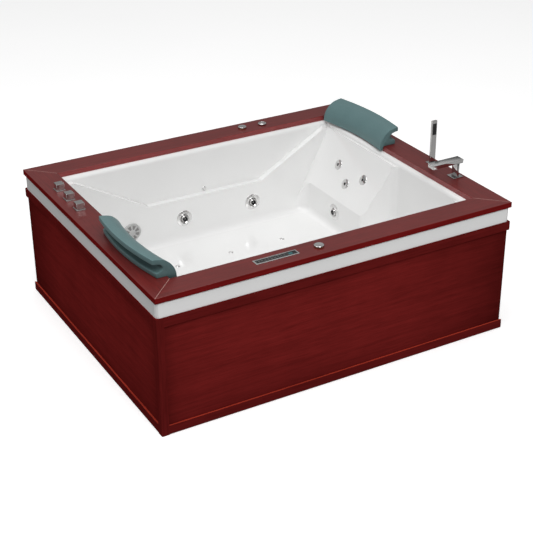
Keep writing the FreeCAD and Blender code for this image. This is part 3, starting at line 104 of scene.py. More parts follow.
class Surface(Nodes):
    """A material with a principled shader, whose detail comes from textures in the part's own metres."""

    def __init__(self, name, **sockets):
        self.material = bpy.data.materials.new(name)
        self.material.use_nodes = True
        super().__init__(self.material.node_tree)
        self.shader = self.tree.nodes["Principled BSDF"]
        for socket, value in sockets.items():
            self.shader.inputs[socket.replace("_", " ")].default_value = value

    def place(self, scale=(1, 1, 1)):
        """Object coordinates, which are the part's own metres, stretched by scale."""
        coords = self.add("ShaderNodeTexCoord")
        mapping = self.add("ShaderNodeMapping")
        mapping.inputs["Scale"].default_value = scale
        self.link(coords.outputs["Object"], mapping.inputs["Vector"])
        return mapping.outputs["Vector"]

    def noise(self, vector, scale, detail=4.0, roughness=0.5, distortion=0.0):
        node = self.add("ShaderNodeTexNoise")
        settings = {"Scale": scale, "Detail": detail, "Roughness": roughness, "Distortion": distortion}
        for name, value in settings.items():
            node.inputs[name].default_value = value
        self.link(vector, node.inputs["Vector"])
        return node.outputs["Fac"]

    def bump(self, height, strength, depth):
        node = self.add("ShaderNodeBump")
        node.inputs["Strength"].default_value = strength
        node.inputs["Distance"].default_value = depth
        self.link(height, node.inputs["Height"])
        self.link(node.outputs["Normal"], self.shader.inputs["Normal"])

    def drive(self, socket, value):
        self.link(value, self.shader.inputs[socket])


# Materials

# Painted shade for the panels, as shares across the panel and how dark the colour gets there: darker towards both ends
# along the grain, most at the high end where it paints light falling off, and darker towards the top and bottom edges,
# under the top rail and above the plinth.
END_PAINTED_SHADE = ((0.0, 0.7), (0.03, 0.92), (0.1, 1.04), (0.3, 1.04), (0.7, 1.0), (0.85, 0.87), (0.95, 0.68), (1.0, 0.52))
EDGE_PAINTED_SHADE = ((0.0, 0.72), (0.14, 0.9), (0.32, 1.0), (0.86, 1.0), (0.94, 0.94), (1.0, 0.72))


def wood(name, grain, tint, coat=0.0, shine=0.0, painted_edge_shade=False):
    """Stained wood with its grain along one axis, under a thin lacquer; a panel gets painted shade, darker towards its
    ends and its top and bottom edges.
    """
    surface = Surface(name, Coat_Weight=coat, Coat_Roughness=0.28, Specular_IOR_Level=shine)
    along = tuple(0.04 if axis == grain else 1.0 for axis in "xyz")
    pores = tuple(0.03 if axis == grain else 1.0 for axis in "xyz")
    broad = surface.noise(surface.place(along), 75, 5, 0.6, 0.3)
    fine = surface.noise(surface.place(pores), 420, 3, 0.6)
    patch = surface.noise(surface.place(), 3.4, 4, 0.6)
    dark, light = tuple(0.84 * value for value in tint), tuple(1.13 * value for value in tint)
    base = surface.ramp(broad, (0.32, dark), (0.52, tint), (0.72, light))
    pored = surface.ramp(fine, (0.34, (0.76, 0.74, 0.74)), (0.54, (1, 1, 1)))
    tone = surface.ramp(patch, (0.32, (0.84, 0.83, 0.83)), (0.68, (1.1, 1.09, 1.09)))
    colour = surface.mix(0.7, surface.mix(0.8, base, pored, "MULTIPLY"), tone, "MULTIPLY")
    # Painted shade: the colour darkens towards the panel's ends and its top and bottom edges.
    if painted_edge_shade:
        for axis, stops in ((grain.upper(), END_PAINTED_SHADE), ("Z", EDGE_PAINTED_SHADE)):
            painted_shade = surface.ramp(surface.across(axis), *[(share, (depth,) * 3) for share, depth in stops])
            colour = surface.mix(1.0, colour, painted_shade, "MULTIPLY")
    surface.drive("Base Color", colour)
    surface.drive("Roughness", surface.spread(fine, 0.5, 0.4))
    surface.bump(fine, 0.1, 0.0003)
    return surface.material


def acrylic(name, tone):
    surface = Surface(name, Coat_Weight=0.5, Coat_Roughness=0.05, IOR=1.49)
    cloud = surface.noise(surface.place(), 1.7, 3)
    dull, clear = (tone - 0.02, tone - 0.02, tone - 0.025), (tone + 0.02, tone + 0.02, tone + 0.015)
    surface.drive("Base Color", surface.ramp(cloud, (0.3, dull), (0.7, clear)))
    dust = surface.noise(surface.place(), 240, 3, 0.6)
    surface.drive("Roughness", surface.spread(dust, 0.12, 0.2))
    surface.bump(surface.noise(surface.place(), 5.5, 2), 0.01, 0.004)
    return surface.material


def chrome(name, tint=(0.76, 0.755, 0.75), rough=(0.04, 0.065)):
    surface = Surface(name, Metallic=1.0)
    smear = surface.noise(surface.place(), 90, 4, 0.6)
    low = tuple(0.97 * value for value in tint)
    surface.drive("Base Color", surface.ramp(smear, (0.35, low), (0.65, tint)))
    surface.drive("Roughness", surface.spread(smear, *rough))
    surface.bump(surface.noise(surface.place(), 900, 2), 0.02, 0.0001)
    return surface.material


def plastic(name, colour, rough=(0.35, 0.5), grain=1400, depth=0.0001):
    surface = Surface(name)
    tone = surface.noise(surface.place(), 60, 3)
    low = tuple(0.85 * value for value in colour)
    surface.drive("Base Color", surface.ramp(tone, (0.35, low), (0.65, colour)))
    texture = surface.noise(surface.place(), grain, 2)
    surface.drive("Roughness", surface.spread(texture, *rough))
    surface.bump(texture, 0.2, depth)
    return surface.material


def steel(name, colour):
    surface = Surface(name, Metallic=1.0)
    flake = surface.add("ShaderNodeTexVoronoi")
    flake.inputs["Scale"].default_value = 130
    surface.link(surface.place(), flake.inputs["Vector"])
    tone = surface.ramp(flake.outputs["Color"], (0.2, tuple(0.8 * v for v in colour)), (0.8, colour))
    surface.drive("Base Color", tone)
    surface.drive("Roughness", surface.spread(surface.noise(surface.place(), 45, 4), 0.35, 0.55))
    surface.bump(surface.noise(surface.place(), 500, 2), 0.08, 0.0002)
    return surface.material


def brass():
    surface = Surface("valve_brass", Metallic=1.0)
    tone = surface.noise(surface.place(), 70, 4)
    surface.drive("Base Color", surface.ramp(tone, (0.3, (0.46, 0.34, 0.16)), (0.7, (0.66, 0.52, 0.28))))
    surface.drive("Roughness", surface.spread(tone, 0.3, 0.45))
    surface.bump(surface.noise(surface.place((1, 1, 8)), 300, 2), 0.1, 0.0002)
    return surface.material


def pillow_skin():
    """Moulded foam with a fine pebbled skin, and painted shade: an ambient-occlusion mask darkens its colour in
    hollows and crevices.
    """
    surface = Surface("pillow_skin", Sheen_Weight=0.15, Sheen_Roughness=0.45, Specular_IOR_Level=0.3)
    cells = surface.add("ShaderNodeTexVoronoi", feature="SMOOTH_F1")
    cells.inputs["Scale"].default_value = 620
    surface.link(surface.place(), cells.inputs["Vector"])
    tone = surface.noise(surface.place(), 14, 4)
    base = surface.ramp(tone, (0.3, (0.106, 0.19, 0.195)), (0.7, (0.116, 0.203, 0.208)))
    grain = surface.ramp(cells.outputs["Distance"], (0.1, (0.8, 0.8, 0.8)), (0.6, (1.06, 1.06, 1.06)))
    # Painted shade: an ambient-occlusion mask darkens the colour in the pillow's hollows and crevices.
    painted_crevice_shade = surface.add("ShaderNodeAmbientOcclusion", samples=8)
    painted_crevice_shade.inputs["Distance"].default_value = 0.05
    hollow = surface.ramp(painted_crevice_shade.outputs["AO"], (0.15, (0.22, 0.22, 0.22)), (0.75, (1, 1, 1)))
    skin_tone = surface.mix(0.7, base, grain, "MULTIPLY")
    surface.drive("Base Color", surface.mix(1.0, skin_tone, hollow, "MULTIPLY"))
    surface.drive("Roughness", surface.spread(tone, 0.5, 0.62))
    surface.bump(cells.outputs["Distance"], 0.25, 0.0006)
    return surface.material


# Painted light: the deck boards' outer edges and inner edges take brighter reds than their lacquered tops.
DECK_EDGE_PAINTED_RED = (0.2, 0.011, 0.011)
INNER_EDGE_PAINTED_RED = (0.26, 0.026, 0.026)
# Painted highlight: a bright orange red for the plinths' upward faces.
PLINTH_PAINTED_HIGHLIGHT_RED = (0.42, 0.045, 0.026)
APRON_RED = (0.21, 0.0175, 0.0165)
RAIL_RED = (0.15, 0.0125, 0.012)
DECK_RED = (0.145, 0.0115, 0.01)
apron_x = wood("apron_wood_x", "x", RAIL_RED)
apron_z = wood("apron_wood_z", "z", RAIL_RED)
panel_x = wood("panel_wood_x", "x", APRON_RED, painted_edge_shade=True)
panel_y = wood("panel_wood_y", "y", APRON_RED, painted_edge_shade=True)
deck_x = wood("deck_wood_x", "x", DECK_RED, 0.35, 0.35)
deck_y = wood("deck_wood_y", "y", DECK_RED, 0.35, 0.35)
# Copies of the deck wood in brighter reds for the boards' edges: painted light.
painted_edge_x = wood("deck_edge_x", "x", DECK_EDGE_PAINTED_RED)
painted_edge_y = wood("deck_edge_y", "y", DECK_EDGE_PAINTED_RED)
painted_inner_x = wood("deck_inner_x", "x", INNER_EDGE_PAINTED_RED, 0.35, 0.5)
painted_inner_y = wood("deck_inner_y", "y", INNER_EDGE_PAINTED_RED, 0.35, 0.5)
plinth_painted_highlight = wood("plinth_painted_highlight", "x", PLINTH_PAINTED_HIGHLIGHT_RED)
pine = wood("batten_wood", "z", (0.42, 0.29, 0.16))
white = acrylic("acrylic_white", 0.85)
# A whiter copy of the acrylic for the outer lip: painted light.
painted_light_lip = acrylic("acrylic_lip_painted_light", 0.96)
bright = chrome("chrome")
tap = chrome("tap_chrome", (0.58, 0.57, 0.565))
satin = chrome("chrome_trim", (0.78, 0.775, 0.77), (0.2, 0.3))
shade = plastic("grille_shade", (0.3, 0.295, 0.29))
black = plastic("black_plastic", (0.014, 0.014, 0.015))
sheet_grey = plastic("keypad", (0.22, 0.22, 0.215))
smoked = plastic("smoked_window", (0.012, 0.014, 0.015), (0.06, 0.12), 900, 0.00003)
teal_glass = plastic("display_glass", (0.03, 0.13, 0.14), (0.06, 0.12), 900, 0.00003)
grey = plastic("box_grey", (0.3, 0.31, 0.32))
pipe = plastic("pipe_white", (0.7, 0.7, 0.68), (0.25, 0.35))
# A pale colour for the mitre strips: a painted highlight.
mitre_highlight_paint = plastic("mitre_painted_highlight", (0.5, 0.3, 0.27), (0.4, 0.5))
motor = steel("motor_grey", (0.3, 0.32, 0.34))
frame_steel = steel("frame_steel", (0.42, 0.43, 0.44))
foot_steel = steel("foot_steel", (0.55, 0.55, 0.56))
skin = pillow_skin()

FINISHES = {
    white: ["tub_shell"],
    deck_x: ["deck_board_front", "deck_board_back"],
    deck_y: ["deck_board_left", "deck_board_right"],
    panel_x: ["apron_panel_front", "apron_panel_back"],
    panel_y: ["apron_panel_left", "apron_panel_right"],
    apron_x: ["top_rails", "plinths"],
    apron_z: ["corner_post"],
    pine: ["corner_battens"],
    frame_steel: ["base_frame", "rim_frame"],
    foot_steel: ["levelling_feet"],
    tap: [
        "hot_knob", "cold_knob", "diverter_knob", "tap_plates", "hand_shower", "hand_shower_holder", "bath_spout",
        "spout_base"],
    bright: [
        "air_knob_back", "air_knob_front", "push_button", "push_button_bezel", "jet_rings",
        "back_jet_rings", "floor_air_jets", "level_sensor", "drain_body", "drain_plug", "overflow_knob"],
    satin: ["control_bezel", "suction_cover"] + [name for name in nodes if name.startswith("jet_nozzle_")],
    black: ["hand_shower_spray_plate", "jet_bodies", "suction_body", "air_blower", "pump_wet_end"],
    brass(): ["tap_valves", "air_valves"],
    sheet_grey: ["control_keypad"],
    teal_glass: ["control_display"],
    grey: ["control_box"],
    motor: ["pump_motor"],
    pipe: ["suction_pipe", "pressure_pipes", "air_pipes", "overflow_pipe"],
    skin: ["pillow_left", "pillow_right"],
}
for material, names in FINISHES.items():
    for name in names:
        nodes[name].data.materials.clear()
        nodes[name].data.materials.append(material)


# Faces of a node with materials of their own, which paint light: a whiter outer lip, brighter red deck edges and
# bright plinth tops

LIP = (0.893, 0.743)
DECK_OUTSIDE = (0.86, 0.71)


def beyond(face, reach):
    return abs(face.center.x) > reach[0] or abs(face.center.y) > reach[1]


def painted_light_faces(node, materials, choice):
    """More materials for a node, and the number of the one that each face takes."""
    data = nodes[node].data
    for material in materials:
        data.materials.append(material)
    for face in data.polygons:
        face.material_index = choice(face)


# Deck faces: 0 the lacquered top, 1 the outer edges, 2 the inner edges; the edges' brighter reds are painted light.
def deck_finish_and_painted_light(face):
    if abs(face.normal.z) > 0.5:
        return 0
    return 1 if beyond(face, DECK_OUTSIDE) else 2


# Painted light: the outer lip's faces take a whiter acrylic than the rest of the shell.
painted_light_faces("tub_shell", [painted_light_lip], lambda face: int(beyond(face, LIP) and abs(face.normal.z) < 0.98))
for side in ("front", "back"):
    painted_light_faces("deck_board_" + side, [painted_edge_x, painted_inner_x], deck_finish_and_painted_light)
for side in ("left", "right"):
    painted_light_faces("deck_board_" + side, [painted_edge_y, painted_inner_y], deck_finish_and_painted_light)
# Painted highlight: the plinths' upward faces take the bright orange red.
painted_light_faces("plinths", [plinth_painted_highlight], lambda face: int(face.normal.z > 0.3))


# Mesh helpers

def eased(points, radius, closed=False, steps=3):
    """A run of points with its corners rounded off."""
    out = []
    for index, corner in enumerate(points):
        if not closed and index in (0, len(points) - 1):
            out.append(corner)
            continue
        ends = []
        for other in (points[index - 1], points[(index + 1) % len(points)]):
            share = min(radius / math.dist(other, corner), 0.45)
            ends.append([c + (o - c) * share for c, o in zip(corner, other)])
        for step in range(steps + 1):
            t = step / steps
            blend = zip(ends[0], corner, ends[1])
            out.append(tuple((1 - t) ** 2 * a + 2 * t * (1 - t) * c + t * t * b for a, c, b in blend))
    return out


def band(mesh, near, far, tone=0):
    """Faces between two rings of as many corners, where a ring may be one point."""
    for index in range(len(near)):
        corners = list(dict.fromkeys([near[index - 1], near[index], far[index], far[index - 1]]))
        if len(corners) > 2:
            mesh.faces.new(corners).material_index = tone


def lathe(mesh, profile, place, closed=False, steps=48, tone=0):
    """Radius and height pairs in millimetres, turned about a place's own Z axis."""
    rings = []
    for radius, height in profile:
        if radius < 1e-6:
            rings.append([mesh.verts.new(place @ Vector((0, 0, height * MM)))] * steps)
            continue
        turns = [2 * math.pi * step / steps for step in range(steps)]
        corners = [Vector((radius * math.cos(turn), radius * math.sin(turn), height)) * MM for turn in turns]
        rings.append([mesh.verts.new(place @ corner) for corner in corners])
    pairs = list(zip(rings, rings[1:]))
    if closed:
        pairs.append((rings[-1], rings[0]))
    for near, far in pairs:
        band(mesh, near, far, tone)


def piece_of(name, mesh, materials, body, replaced=(), crease=32):
    """An object made from a mesh, riding on a body and standing for some CAD nodes."""
    bmesh.ops.recalc_face_normals(mesh, faces=mesh.faces)
    for face in mesh.faces:
        face.smooth = not face.tag
    data = bpy.data.meshes.new(name)
    mesh.to_mesh(data)
    mesh.free()
    data.set_sharp_from_angle(angle=math.radians(crease))
    for material in materials:
        data.materials.append(material)
    piece = bpy.data.objects.new(name, data)
    scene.collection.objects.link(piece)
    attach(piece, body)
    if replaced:
        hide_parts(*replaced)
    return piece


# Head pillows

DECK_TOP = 0.664
DECK_EDGE = 772
PILLOW_MID, PILLOW_HALF, PILLOW_DEPTH = 350, 250, 109
PILLOW_BOW, PILLOW_SKEW, PILLOW_FRONT = 24, 10, 10
PILLOW_ROLL, ROLL_STEPS, PILLOW_STEPS = 1.0, 4, 30
LIP_GAP = 4


def through(points, count):
    """A smooth run through points, without the last one."""
    padded = [points[0], *points, points[-1]]
    out = []
    for a, b, c, e in zip(padded, padded[1:], padded[2:], padded[3:]):
        for step in range(count):
            t = step / count
            out.append(tuple(
                q + 0.5 * t * (r - p + t * (2 * p - 5 * q + 4 * r - s + t * (3 * (q - r) + s - p)))
                for p, q, r, s in zip(a, b, c, e)))
    return out


def pillow_section(room):
    """The section in millimetres: shares of the depth out over the deck, and up from it, with room for the lip."""
    back = [(0, -19), (0.03, 10.6), (0.12, 35.2), (0.28, 58.1), (0.5, 75.7), (0.74, 83.6), (0.99, 88)]
    hollow = [(1.0, 67), (0.85, 64.6), (0.7, 60.4), (0.6, 52), (0.56, 41), (0.6, 30.5), (0.7, 25)]
    foot = [(0.855, 22), (0.84, 0.4)]
    across = through(back, 3) + [back[-1]] + through(hollow, 3) + [hollow[-1]] + foot
    corners = [(PILLOW_DEPTH * share - PILLOW_FRONT, up) for share, up in across]
    return eased(corners + [(room + 3, 0.4), (room, -19)], 4.0, True, 4)


def inset(section, depth):
    """The section drawn in along its own normals."""
    moved = []
    count = len(section)
    for index, (x, y) in enumerate(section):
        (px, py), (qx, qy) = section[index - 1], section[(index + 1) % count]
        run = math.hypot(qx - px, qy - py) or 1.0
        moved.append((x + depth * (qy - py) / run, y - depth * (qx - px) / run))
    return moved


def pillow(name, node, turned):
    """One moulded pillow, bowed in plan, with square-cut ends and softened edges."""
    rows = []
    for step in range(ROLL_STEPS + 1):
        angle = math.pi / 2 * step / ROLL_STEPS
        rows.append((PILLOW_ROLL * (1 - math.sin(angle)), PILLOW_ROLL * (1 - math.cos(angle))))
    middle = 2 * (PILLOW_HALF - PILLOW_ROLL)
    stations = [(depth, along - PILLOW_HALF) for depth, along in rows]
    stations += [(0.0, -middle / 2 + middle * step / PILLOW_STEPS) for step in range(1, PILLOW_STEPS)]
    stations += [(depth, PILLOW_HALF - along) for depth, along in reversed(rows)]
    mesh = bmesh.new()
    rings = []
    for depth, along in stations:
        share = along / PILLOW_HALF
        bow = PILLOW_BOW * share ** 2 + PILLOW_SKEW * share
        section = inset(pillow_section(bow - LIP_GAP), depth)
        x, y = DECK_EDGE - bow, PILLOW_MID + along
        rings.append([mesh.verts.new(((x + out) * MM, y * MM, DECK_TOP + up * MM)) for out, up in section])
    for near, far in zip(rings, rings[1:]):
        band(mesh, near, far)
    caps = [mesh.faces.new(ring) for ring in (rings[0], rings[-1])]
    mesh.normal_update()
    for face in bmesh.ops.triangulate(mesh, faces=caps, ngon_method="EAR_CLIP")["faces"]:
        face.tag = True
    if turned:
        bmesh.ops.rotate(mesh, verts=mesh.verts, cent=(0, 0, 0), matrix=Matrix.Rotation(math.pi, 3, "Z"))
    piece = piece_of(name, mesh, [skin], "tub", [node], 60)


pillow("head_pillow_right", "pillow_right", False)
pillow("head_pillow_left", "pillow_left", True)


# Places of the fittings

WALL_Y = 0.568
UPPER_WALL_Y = 0.6
OVERFLOW_Z = 0.472
SEAT_X = 0.595
SEAT_Z = 0.345
FLOOR_Z = 0.172
SEAT_LEAN = math.atan2(155, 293)
HALF_TURN = Matrix.Rotation(math.pi, 4, "Z")
TO_BACK_WALL = Matrix.Rotation(math.pi / 2, 4, "X")
TO_END_WALL = Matrix.Rotation(-math.pi / 2, 4, "Z") @ TO_BACK_WALL
TO_SEAT_BACK = Matrix.Rotation(SEAT_LEAN, 4, "Y") @ TO_END_WALL


def at(x, y, z, turn=Matrix.Identity(4)):
    return Matrix.Translation((x, y, z)) @ turn


def on_seat_back(y, along):
    """A place on the right-hand seat back, a distance up its slope from the crease."""
    return at(SEAT_X + along * math.sin(SEAT_LEAN), y, SEAT_Z + along * math.cos(SEAT_LEAN), TO_SEAT_BACK)


def with_opposites(places):
    return places + [HALF_TURN @ place for place in places]


def middle_of(node):
    low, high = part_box(node)
    return (low + high) / 2


def wall_place(node):
    """The place of a back-wall jet from its nozzle."""
    centre = middle_of(node)
    return at(centre.x, WALL_Y, centre.z, TO_BACK_WALL)


right_end = middle_of("jet_nozzle_right_end")
jet_places = dict(zip(
    ["back_left", "back_right", "right_end", "front_right", "front_left", "left_end"],
    with_opposites([
        wall_place("jet_nozzle_back_left"), wall_place("jet_nozzle_back_right"),
        at(SEAT_X, right_end.y, right_end.z, TO_END_WALL)])))
SMALL_Y, SMALL_SPREAD, SMALL_HIGH, SMALL_LOW = 0.244, 0.116, 0.165, 0.098
small_places = with_opposites([
    on_seat_back(SMALL_Y + SMALL_SPREAD, SMALL_HIGH), on_seat_back(SMALL_Y, SMALL_LOW),
    on_seat_back(SMALL_Y - SMALL_SPREAD, SMALL_HIGH)])
AIR_X, AIR_Y = 0.3, 0.31
air_places = [at(x, y, FLOOR_Z) for y in (AIR_Y, -AIR_Y) for x in (-AIR_X, 0, AIR_X)]


# Jets

def jet_rings():
    """A domed flange with a raised lip round each large nozzle."""
    profile = [
        (43, 0.2), (43, 1.0), (40, 2.4), (33, 4.0), (30.4, 4.2), (29.6, 6.0), (27.2, 6.2), (24.6, 4.6), (21.6, 2.4),
        (21.6, 0.2)]
    mesh = bmesh.new()
    for place in jet_places.values():
        lathe(mesh, eased(profile, 0.7, True), place, True)
    piece_of("jet_flanges", mesh, [bright], "tub", ["jet_rings"])


def jet_nozzle(name, place):
    """A swivelling eyeball with a wide dark throat and a small bright inner nozzle."""
    ball, back = 20.8, -4.0
    face = [(ball * math.cos(a), back + ball * math.sin(a)) for a in (math.radians(d) for d in range(-40, 45, 7))]
    front = face[-1][1]
    shell = [(0, face[0][1])] + face + [(15.0, front + 0.9), (14.2, front + 1.4), (13.4, front + 0.9)]
    throat = [(13.4, front + 0.9), (12.6, front - 1.5), (11.8, front - 11), (0, front - 11)]
    tip = [(5.2, front - 11), (4.8, front - 4.4), (4.2, front - 3.8), (3.2, front - 4.2), (3, front - 11)]
    mesh = bmesh.new()
    lathe(mesh, shell, place)
    lathe(mesh, throat, place, tone=1)
    lathe(mesh, eased(tip, 0.5), place)
    bmesh.ops.remove_doubles(mesh, verts=mesh.verts, dist=1e-6)
    node = "jet_nozzle_" + name
    piece_of("eyeball_" + name, mesh, [tap, black], node, [node])


def back_jet_rings():
    """A low dome with a small water hole over each back jet."""
    profile = [
        (27, 0.2), (27, 0.8), (24.6, 2.2), (17, 3.9), (11.5, 4.5), (8.4, 4.8), (7.6, 4.3), (7.6, 2.7), (10.8, 2.7),
        (10.8, 0.2)]
    mesh = bmesh.new()
    for place in small_places:
        lathe(mesh, eased(profile, 0.8, True), place, True)
    piece_of("back_jet_domes", mesh, [bright], "tub", ["back_jet_rings"])


def floor_air_jets():
    """A dished cap on the floor, with its shank, nut and hose tail below."""
    profile = [
        (0, 1.5), (4.5, 1.6), (6.6, 2.9), (9.4, 3.0), (12.2, 1.4), (12.5, 0.2), (8, 0.1), (8, -7.4), (13.5, -7.4),
        (13.5, -17.3), (6, -17.3), (6, -69.8), (0, -69.8)]
    mesh = bmesh.new()
    for place in air_places:
        lathe(mesh, eased(profile, 0.6), place, steps=32)
    piece_of("floor_air_caps", mesh, [bright], "tub", ["floor_air_jets"])


def suction_cover():
    """A round grille: hub, eight spokes and a rim, over a grey backing disc that paints the shade seen through the
    slots.
    """
    centre = middle_of("suction_cover")
    place = at(centre.x, WALL_Y, centre.z, TO_BACK_WALL)
    steps, sector, spoke = 64, 8, 3
    radii = [(0, 9.6), (8, 9.4), (14, 8.8), (18, 8.2), (38, 6.2), (41.5, 5.6), (42.5, 6.6), (45.5, 6.0), (48.5, 2.2)]
    slot_row = 3
    mesh = bmesh.new()
    rings = []
    for radius, height in radii:
        turns = [2 * math.pi * step / steps for step in range(steps)]
        count = 1 if radius == 0 else steps
        ring = [
            mesh.verts.new(place @ Vector((radius * MM * math.cos(turn), radius * MM * math.sin(turn), height * MM)))
            for turn in turns[:count]]
        rings.append(ring * (steps // count))
    for row, (near, far) in enumerate(zip(rings, rings[1:])):
        for step in range(steps):
            if row == slot_row and step % sector >= spoke:
                continue
            mesh.faces.new(list(dict.fromkeys([near[step - 1], near[step], far[step], far[step - 1]])))
    # Known fault: the faces have no normals yet, so this second layer lies on the first. It only dims the grille.
    bmesh.ops.solidify(mesh, geom=mesh.faces[:], thickness=1.6 * MM)
    # Painted shade: a grey disc under the slots stands for the dark space behind the grille.
    lathe(mesh, [(48.4, 0.2), (48.4, 2.0), (44, 3.4), (0, 3.4)], place, tone=1)
    piece_of("suction_grille", mesh, [white, shade], "tub", ["suction_cover"])


jet_rings()
for jet_name, jet_place in jet_places.items():
    jet_nozzle(jet_name, jet_place)
back_jet_rings()
floor_air_jets()
suction_cover()


# Round controls on the deck

def air_knob(node):
    """A thin disc knob on a narrow neck."""
    centre = middle_of(node)
    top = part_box(node)[1].z / MM
    low = DECK_TOP / MM + 2.3
    profile = [
        (0, top - 0.5), (15, top - 0.4), (18.5, top), (21.4, top - 0.5), (22.5, top - 1.8), (22.2, low + 3.2),
        (20, low + 2), (13, low + 1.6), (12.4, low), (4, low), (4, low - 30), (0, low - 30)]
    mesh = bmesh.new()
    lathe(mesh, eased(profile, 0.6), at(centre.x, centre.y, 0), steps=64)
    piece_of(node + "_disc", mesh, [bright], node, [node])


def push_button():
    """A domed button in a raised collar on a narrow neck."""
    centre = middle_of("push_button")
    place = at(centre.x, centre.y, DECK_TOP)
    collar = [
        (15.4, 1.5), (15.4, 8.2), (16.2, 9), (20.6, 9), (22.4, 7.4), (22.4, 4.6), (19, 3), (14, 2.4), (14, 0.05),
        (11, 0.05), (11, -33), (19, -33), (19, -43), (8, -43), (8, -66), (4.4, -66), (4.4, 1.5)]
    mesh = bmesh.new()
    lathe(mesh, eased(collar, 0.5, True), place, True, 64)
    piece_of("button_collar", mesh, [bright], "tub", ["push_button_bezel"])
    dome = [(0, 10), (8, 9.9), (12.6, 9.4), (14.3, 8.2), (14.4, 7), (3.4, 7), (3.4, -27.6), (0, -27.6)]
    mesh = bmesh.new()
    lathe(mesh, eased(dome, 0.5), place, steps=64)
    piece_of("button_dome", mesh, [bright], "push_button", ["push_button"])


MITRE_OUTER, MITRE_INNER = (0.8985, 0.7485), (0.7725, 0.6225)


def mitre_lines():
    """A pale strip in each mitre of the deck: a painted highlight along the mitre's edges."""
    outer, inner = Vector((*MITRE_OUTER, 0)), Vector((*MITRE_INNER, 0))
    side = (outer - inner).cross(Vector((0, 0, 1))).normalized()
    section = [
        (-0.9, 0.02), (-0.5, 0.22), (0.5, 0.22), (0.9, 0.02), (0.25, 0.02), (0.25, -9), (-0.25, -9), (-0.25, 0.02)]
    mesh = bmesh.new()
    for across in (1, -1):
        for along in (1, -1):
            flip = Matrix.Diagonal((across, along, 1))
            ends = []
            for point in (outer, inner):
                places = [point + side * (out * MM) + Vector((0, 0, DECK_TOP + up * MM)) for out, up in section]
                ends.append([mesh.verts.new(flip @ place) for place in places])
            band(mesh, *ends)
            for end in ends:
                mesh.faces.new(end)
    piece_of("mitre_lines", mesh, [mitre_highlight_paint], "tub")


def spray_nubs():
    """Rows of soft nozzles on the hand shower's plate."""
    low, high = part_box("hand_shower_spray_plate")
    columns, rows = 3, 9
    mesh = bmesh.new()
    for column in range(columns):
        for row in range(rows):
            x = low.x + (high.x - low.x) * (column + 0.5) / columns
            z = low.z + (high.z - low.z) * (row + 0.5) / rows
            profile = [(1.9, -0.2), (1.9, 0.2), (1.3, 0.7), (0.5, 0.8), (0, 0.5)]
            lathe(mesh, profile, at(x, low.y, z, TO_BACK_WALL), steps=12)
    piece_of("spray_nubs", mesh, [black], "hand_shower")


def rounded(low_x, low_y, high_x, high_y, radius):
    """The outline of a rectangle with rounded corners, in metres."""
    corners = [(low_x, low_y), (high_x, low_y), (high_x, high_y), (low_x, high_y)]
    return eased(corners, radius, True, 4)


def plate(mesh, outline, bottom, top, soft, tone=0):
    """A flat piece of that outline with a softened upper edge, in metres."""
    mid_x, mid_y = (sum(values) / len(outline) for values in zip(*outline))

    def drawn(value, mid, draw):
        return value + math.copysign(min(draw, abs(mid - value)), mid - value)

    rings = []
    for height, draw in ((bottom, 0.0), (top - soft, 0.0), (top - soft * 0.3, soft * 0.3), (top, soft)):
        rings.append([mesh.verts.new((drawn(x, mid_x, draw), drawn(y, mid_y, draw), height)) for x, y in outline])
    for near, far in zip(rings, rings[1:]):
        band(mesh, near, far, tone)
    for ring in (rings[0], rings[-1]):
        mesh.faces.new(ring).material_index = tone


def control_panel():
    """A grey sheet with two rows of dark keys, and a dark window with a teal field."""
    low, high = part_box("control_keypad")
    columns, rows, gap = 10, 2, 0.0016
    sheet = high.z - 0.0009
    mesh = bmesh.new()
    plate(mesh, rounded(low.x, low.y, high.x, high.y, 0.0015), low.z, sheet, 0.0002)
    wide = (high.x - low.x - gap) / columns
    deep = (high.y - low.y - gap) / rows
    for column in range(columns):
        for row in range(rows):
            x, y = low.x + gap + wide * column, low.y + gap + deep * row
            key = rounded(x, y, x + wide - gap, y + deep - gap, 0.0022)
            plate(mesh, key, sheet - 0.0003, high.z - 0.0001, 0.0005, 1)
            mid_x, mid_y = x + (wide - gap) / 2, y + (deep - gap) / 2
            reach = 0.0011 + 0.0009 * ((column + row) % 3)
            mark = rounded(mid_x - reach, mid_y - 0.0007, mid_x + reach, mid_y + 0.0007, 0.0005)
            plate(mesh, mark, high.z - 0.0003, high.z - 0.00002, 0.00005)
    piece_of("key_sheet", mesh, [sheet_grey, black], "tub", ["control_keypad"])
    low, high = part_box("control_display")
    mesh = bmesh.new()
    plate(mesh, rounded(low.x, low.y, high.x, high.y, 0.0015), low.z, high.z - 0.0003, 0.0003)
    field = rounded(low.x + 0.004, low.y + 0.006, low.x + 0.022, high.y - 0.006, 0.001)
    plate(mesh, field, high.z - 0.0006, high.z, 0.0001, 1)
    piece_of("display_window", mesh, [smoked, teal_glass], "tub", ["control_display"])


